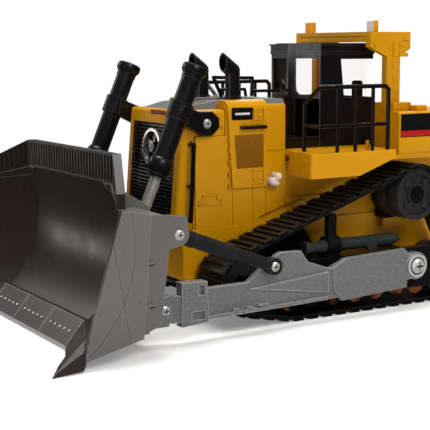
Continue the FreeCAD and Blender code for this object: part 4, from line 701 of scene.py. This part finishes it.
# ---- blade -----------------------------------------------------------------
HOLLOW_R = 35.0            # radius of the hollow face
HOLLOW_X, HOLLOW_Z = 106.4, 34.0
HOLLOW_FOOT = 8.5
HOLLOW_TOP = 48.6
EDGE_X, EDGE_Z = 90.0, 1.4  # foot of the cutting edge
CREASE_Y = 31.3            # fold between the centre and the wings
WING_Y = 53.4
WING_Z = 43.6              # top of the wings at their ends
WING_SLOPE = math.tan(math.radians(24.0))


def hollow_x(y, z):
    """X of the hollow face; the wings turn forward beyond the crease."""
    centre = HOLLOW_X - math.sqrt(HOLLOW_R ** 2 - (z - HOLLOW_Z) ** 2)
    return centre + WING_SLOPE * max(0.0, abs(y) - CREASE_Y)


def make_blade_details():
    """Flange, edge bolts, painted highlights on the joints of the edge plates and painted shade in the gusset
    slots of the blade.
    """
    flange = Form()
    drop = (HOLLOW_TOP - WING_Z) / (WING_Y - CREASE_Y)

    def on_wing(y, below):
        z = HOLLOW_TOP - below - drop * max(0.0, y - CREASE_Y)
        return (hollow_x(y, z) + 0.12, y, z)
    upper = [on_wing(y, 0.5) for y in (26.5, CREASE_Y, WING_Y - 0.6)]
    lower = [on_wing(27.3, 1.1), on_wing(CREASE_Y - 0.4, 3.2), on_wing(WING_Y - 0.6, 1.5)]
    flange.wire(upper, 0.26).wire([upper[0]] + lower, 0.22)
    # pale flange line: partly wear, partly painted highlight along the wing's top edge
    flange.piece("wing_flange", "blade_grey", "blade", EXTRA["worn_and_highlit"], 0.04)
    x0 = hollow_x(0.0, HOLLOW_FOOT) + 1.5
    run = Vector((EDGE_X - x0, 0, EDGE_Z - HOLLOW_FOOT))
    out = Vector((-run.z, 0, run.x)).normalized()
    bolts = Form()
    third = 2 * CREASE_Y / 3
    middle = Vector((x0, 0, HOLLOW_FOOT)) + 0.52 * run
    for k in range(3):
        for n in range(5):
            y = -CREASE_Y + third * (k + (n + 1) / 6)
            bolts.bead(middle + Vector((0, y, 0)) + 0.1 * out, out, 0.46, 0.34)
    bolts.piece("edge_bolts.", "screw_steel", "blade", EXTRA["bright"], 0.03)
    # painted highlight: bright wires along the joints and top of the edge plates
    seam_highlights = Form()
    top = Vector((x0, 0, HOLLOW_FOOT)) + 0.06 * out
    for y in (-CREASE_Y, -third / 2, third / 2, CREASE_Y):
        seam_highlights.wire([top + Vector((0, y, 0)), top + 0.97 * run + Vector((0, y, 0))], 0.11, 6)
    seam_highlights.wire([top + Vector((0, -CREASE_Y, 0)), top + Vector((0, CREASE_Y, 0))], 0.08, 6)
    seam_highlights.piece("edge_seam_highlights.", "edge_steel", "blade", EXTRA["bright"], 0.02)
    # painted shade: dark wedges for the gusset slots
    notches = Form()
    for z in (15.1, 27.3):
        notches.side([(71.0, z), (75.0, z - 0.1), (75.4, z - 0.9), (73.6, z - 0.5)], 52.55, 52.72)
    notches.piece("gusset_slot_shade", "blade_grey", "blade", EXTRA["deep"], 0.02)


# ---- screws and running gear ------------------------------------------------
SCREWS = {"tractor": ("root", ((-34.0, 14.7, 43.95, 2.6), (35.0, 64.0, 20.9, 1.5))),
          "blade": ("blade", ((63.2, 35.0, 52.65, 1.55), (25.6, 20.9, 46.05, 1.5), (63.0, 10.9, 43.45, 1.6)))}


def make_screw_slots():
    """Near-black crosses in the screw heads: painted shade for their cross recesses."""
    for name, (body, places) in SCREWS.items():
        form = Form()
        for x, z, foot, radius in places:
            height = 0.42 * radius
            y0, y1 = foot + 0.44 * height, foot + 0.80 * height
            reach, half = 0.60 * radius, 0.12 * radius
            cross = [(-reach, -half), (-half, -half), (-half, -reach), (half, -reach), (half, -half),
                     (reach, -half), (reach, half), (half, half), (half, reach), (-half, reach),
                     (-half, half), (-reach, half)]
            form.side([(x + dx, z + dz) for dx, dz in cross], y0, y1)
        form.piece("screw_cross_shade_" + name, "screw_steel", body, EXTRA["deep"], 0.02)


def make_running_gear():
    """Black plates behind the upper track runs, partly a track frame and partly painted shade for the gap
    there, and painted shade in the sprocket hubs' recesses.
    """
    # black plate: partly a track frame, partly painted shade
    Form().side([(27.0, 12.0), (27.0, 24.4), (-3.0, 34.6), (-3.0, 27.0), (-7.0, 21.0), (-7.0, 12.0)],
                20.0, 21.4).piece("track_frame_and_shade_plate", "frame_black", "root")
    low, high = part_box("sprocket_left")
    x, z = (low[0] + high[0]) / 2 / MM, (low[2] + high[2]) / 2 / MM
    face = high[1] / MM
    # painted shade: a near-black ring in each sprocket hub's recess
    for side, sign in (("left", 1), ("right", -1)):
        hub = Form()
        hub.turned((x, sign * (face - 0.5), z), (0, sign, 0),
                   [(-0.4, 3.1), (0.52, 3.1), (0.56, 2.9), (0.3, 2.2)], 28)
        hub.piece("hub_recess_shade_" + side + ".", "wheel_black", "sprocket_" + side, EXTRA["deep"], 0.03)


# ---- cylinders, cab base and rear --------------------------------------------
LIFT_TOP = Vector((40.0, 22.6, 82.3))     # upper end of the left lift cylinder
LIFT_EYE = Vector((66.2, 22.6, 21.0))     # its pin at the blade
TANK_BACK = -68.0                         # rear face of the tank


def make_collars():
    """Rounded gland and cap flange on each lift cylinder."""
    axis = (LIFT_EYE - LIFT_TOP).normalized()
    parts = {"gland": (30.6, [(0.0, 3.05), (0.5, 3.6), (1.5, 3.95), (3.9, 3.9), (4.8, 3.6), (5.5, 2.95),
                      (5.5, 2.6), (0.0, 2.6)]),
             "cap": (0.1, [(0.0, 3.55), (0.25, 4.0), (1.9, 4.05), (2.5, 3.6), (3.1, 3.25),
                     (3.1, 2.6), (0.0, 2.6)])}
    for side, sign in (("left", 1), ("right", -1)):
        for name, (start, profile) in parts.items():
            at = LIFT_TOP + start * axis
            ring = Form().turned((at.x, sign * at.y, at.z), axis, profile, 30, True)
            ring.piece("barrel_%s_%s." % (name, side), "black_plastic", "lift_barrel_" + side, None, 0.08)


def make_rear():
    """Sill under the cab, louvred panels, bolts and lamps on the back of the tank."""
    Form().bar(-40.0, 3.2, -15.9, 15.9, 50.2, 53.8).piece("cab_sill.", "yellow_paint", "root")
    panel = Form().bar(TANK_BACK - 0.35, TANK_BACK + 0.1, 4.0, 23.0, 54.0, 63.6)
    for n in range(7):
        z = 55.1 + 1.15 * n
        panel.bar(TANK_BACK - 0.75, TANK_BACK - 0.3, 5.4, 21.6, z, z + 0.5)
    panel.piece("tank_louvre", "yellow_paint", "root", None, 0.08)
    lamps = Form().bead((TANK_BACK, 28.6, 61.6), (-1, 0, 0), 1.35, 0.8)
    lamps.piece("tank_lamp", "lamp_white", "root", EXTRA["red"], 0.05)
    bolts = Form()
    for y in (25.0, 31.8):
        for z in (53.4, 64.4):
            bolts.bead((TANK_BACK, y, z), (-1, 0, 0), 0.42, 0.3)
    bolts.piece("tank_bolts", "yellow_paint", "root", None, 0.03)


make_collars()
make_rear()
make_doors()
make_panels()
make_cab_details()
make_blade_details()
make_screw_slots()
make_running_gear()
make_camera()
make_world()
make_floor()
soft_box("key", (60, 760, 640), (0, 0, 30), 420, 360, 4.6, (1.0, 0.985, 0.96))
soft_box("front", (760, 200, 120), (60, 0, 30), 220, 150, 0.9)
soft_box("top", (20, -80, 850), (0, 0, 40), 600, 420, 6.0)
soft_box("rim", (-420, -520, 520), (0, 0, 40), 300, 300, 2.0)
soft_box("card_low", (440, -600, 36), (80, 0, 30), 300, 66, 0.20, (1.0, 0.97, 0.94))
soft_box("card_high", (300, -560, 350), (80, 0, 20), 280, 180, 0.42, (1.0, 0.97, 0.94))
bpy.context.scene.view_settings.view_transform = "Standard"
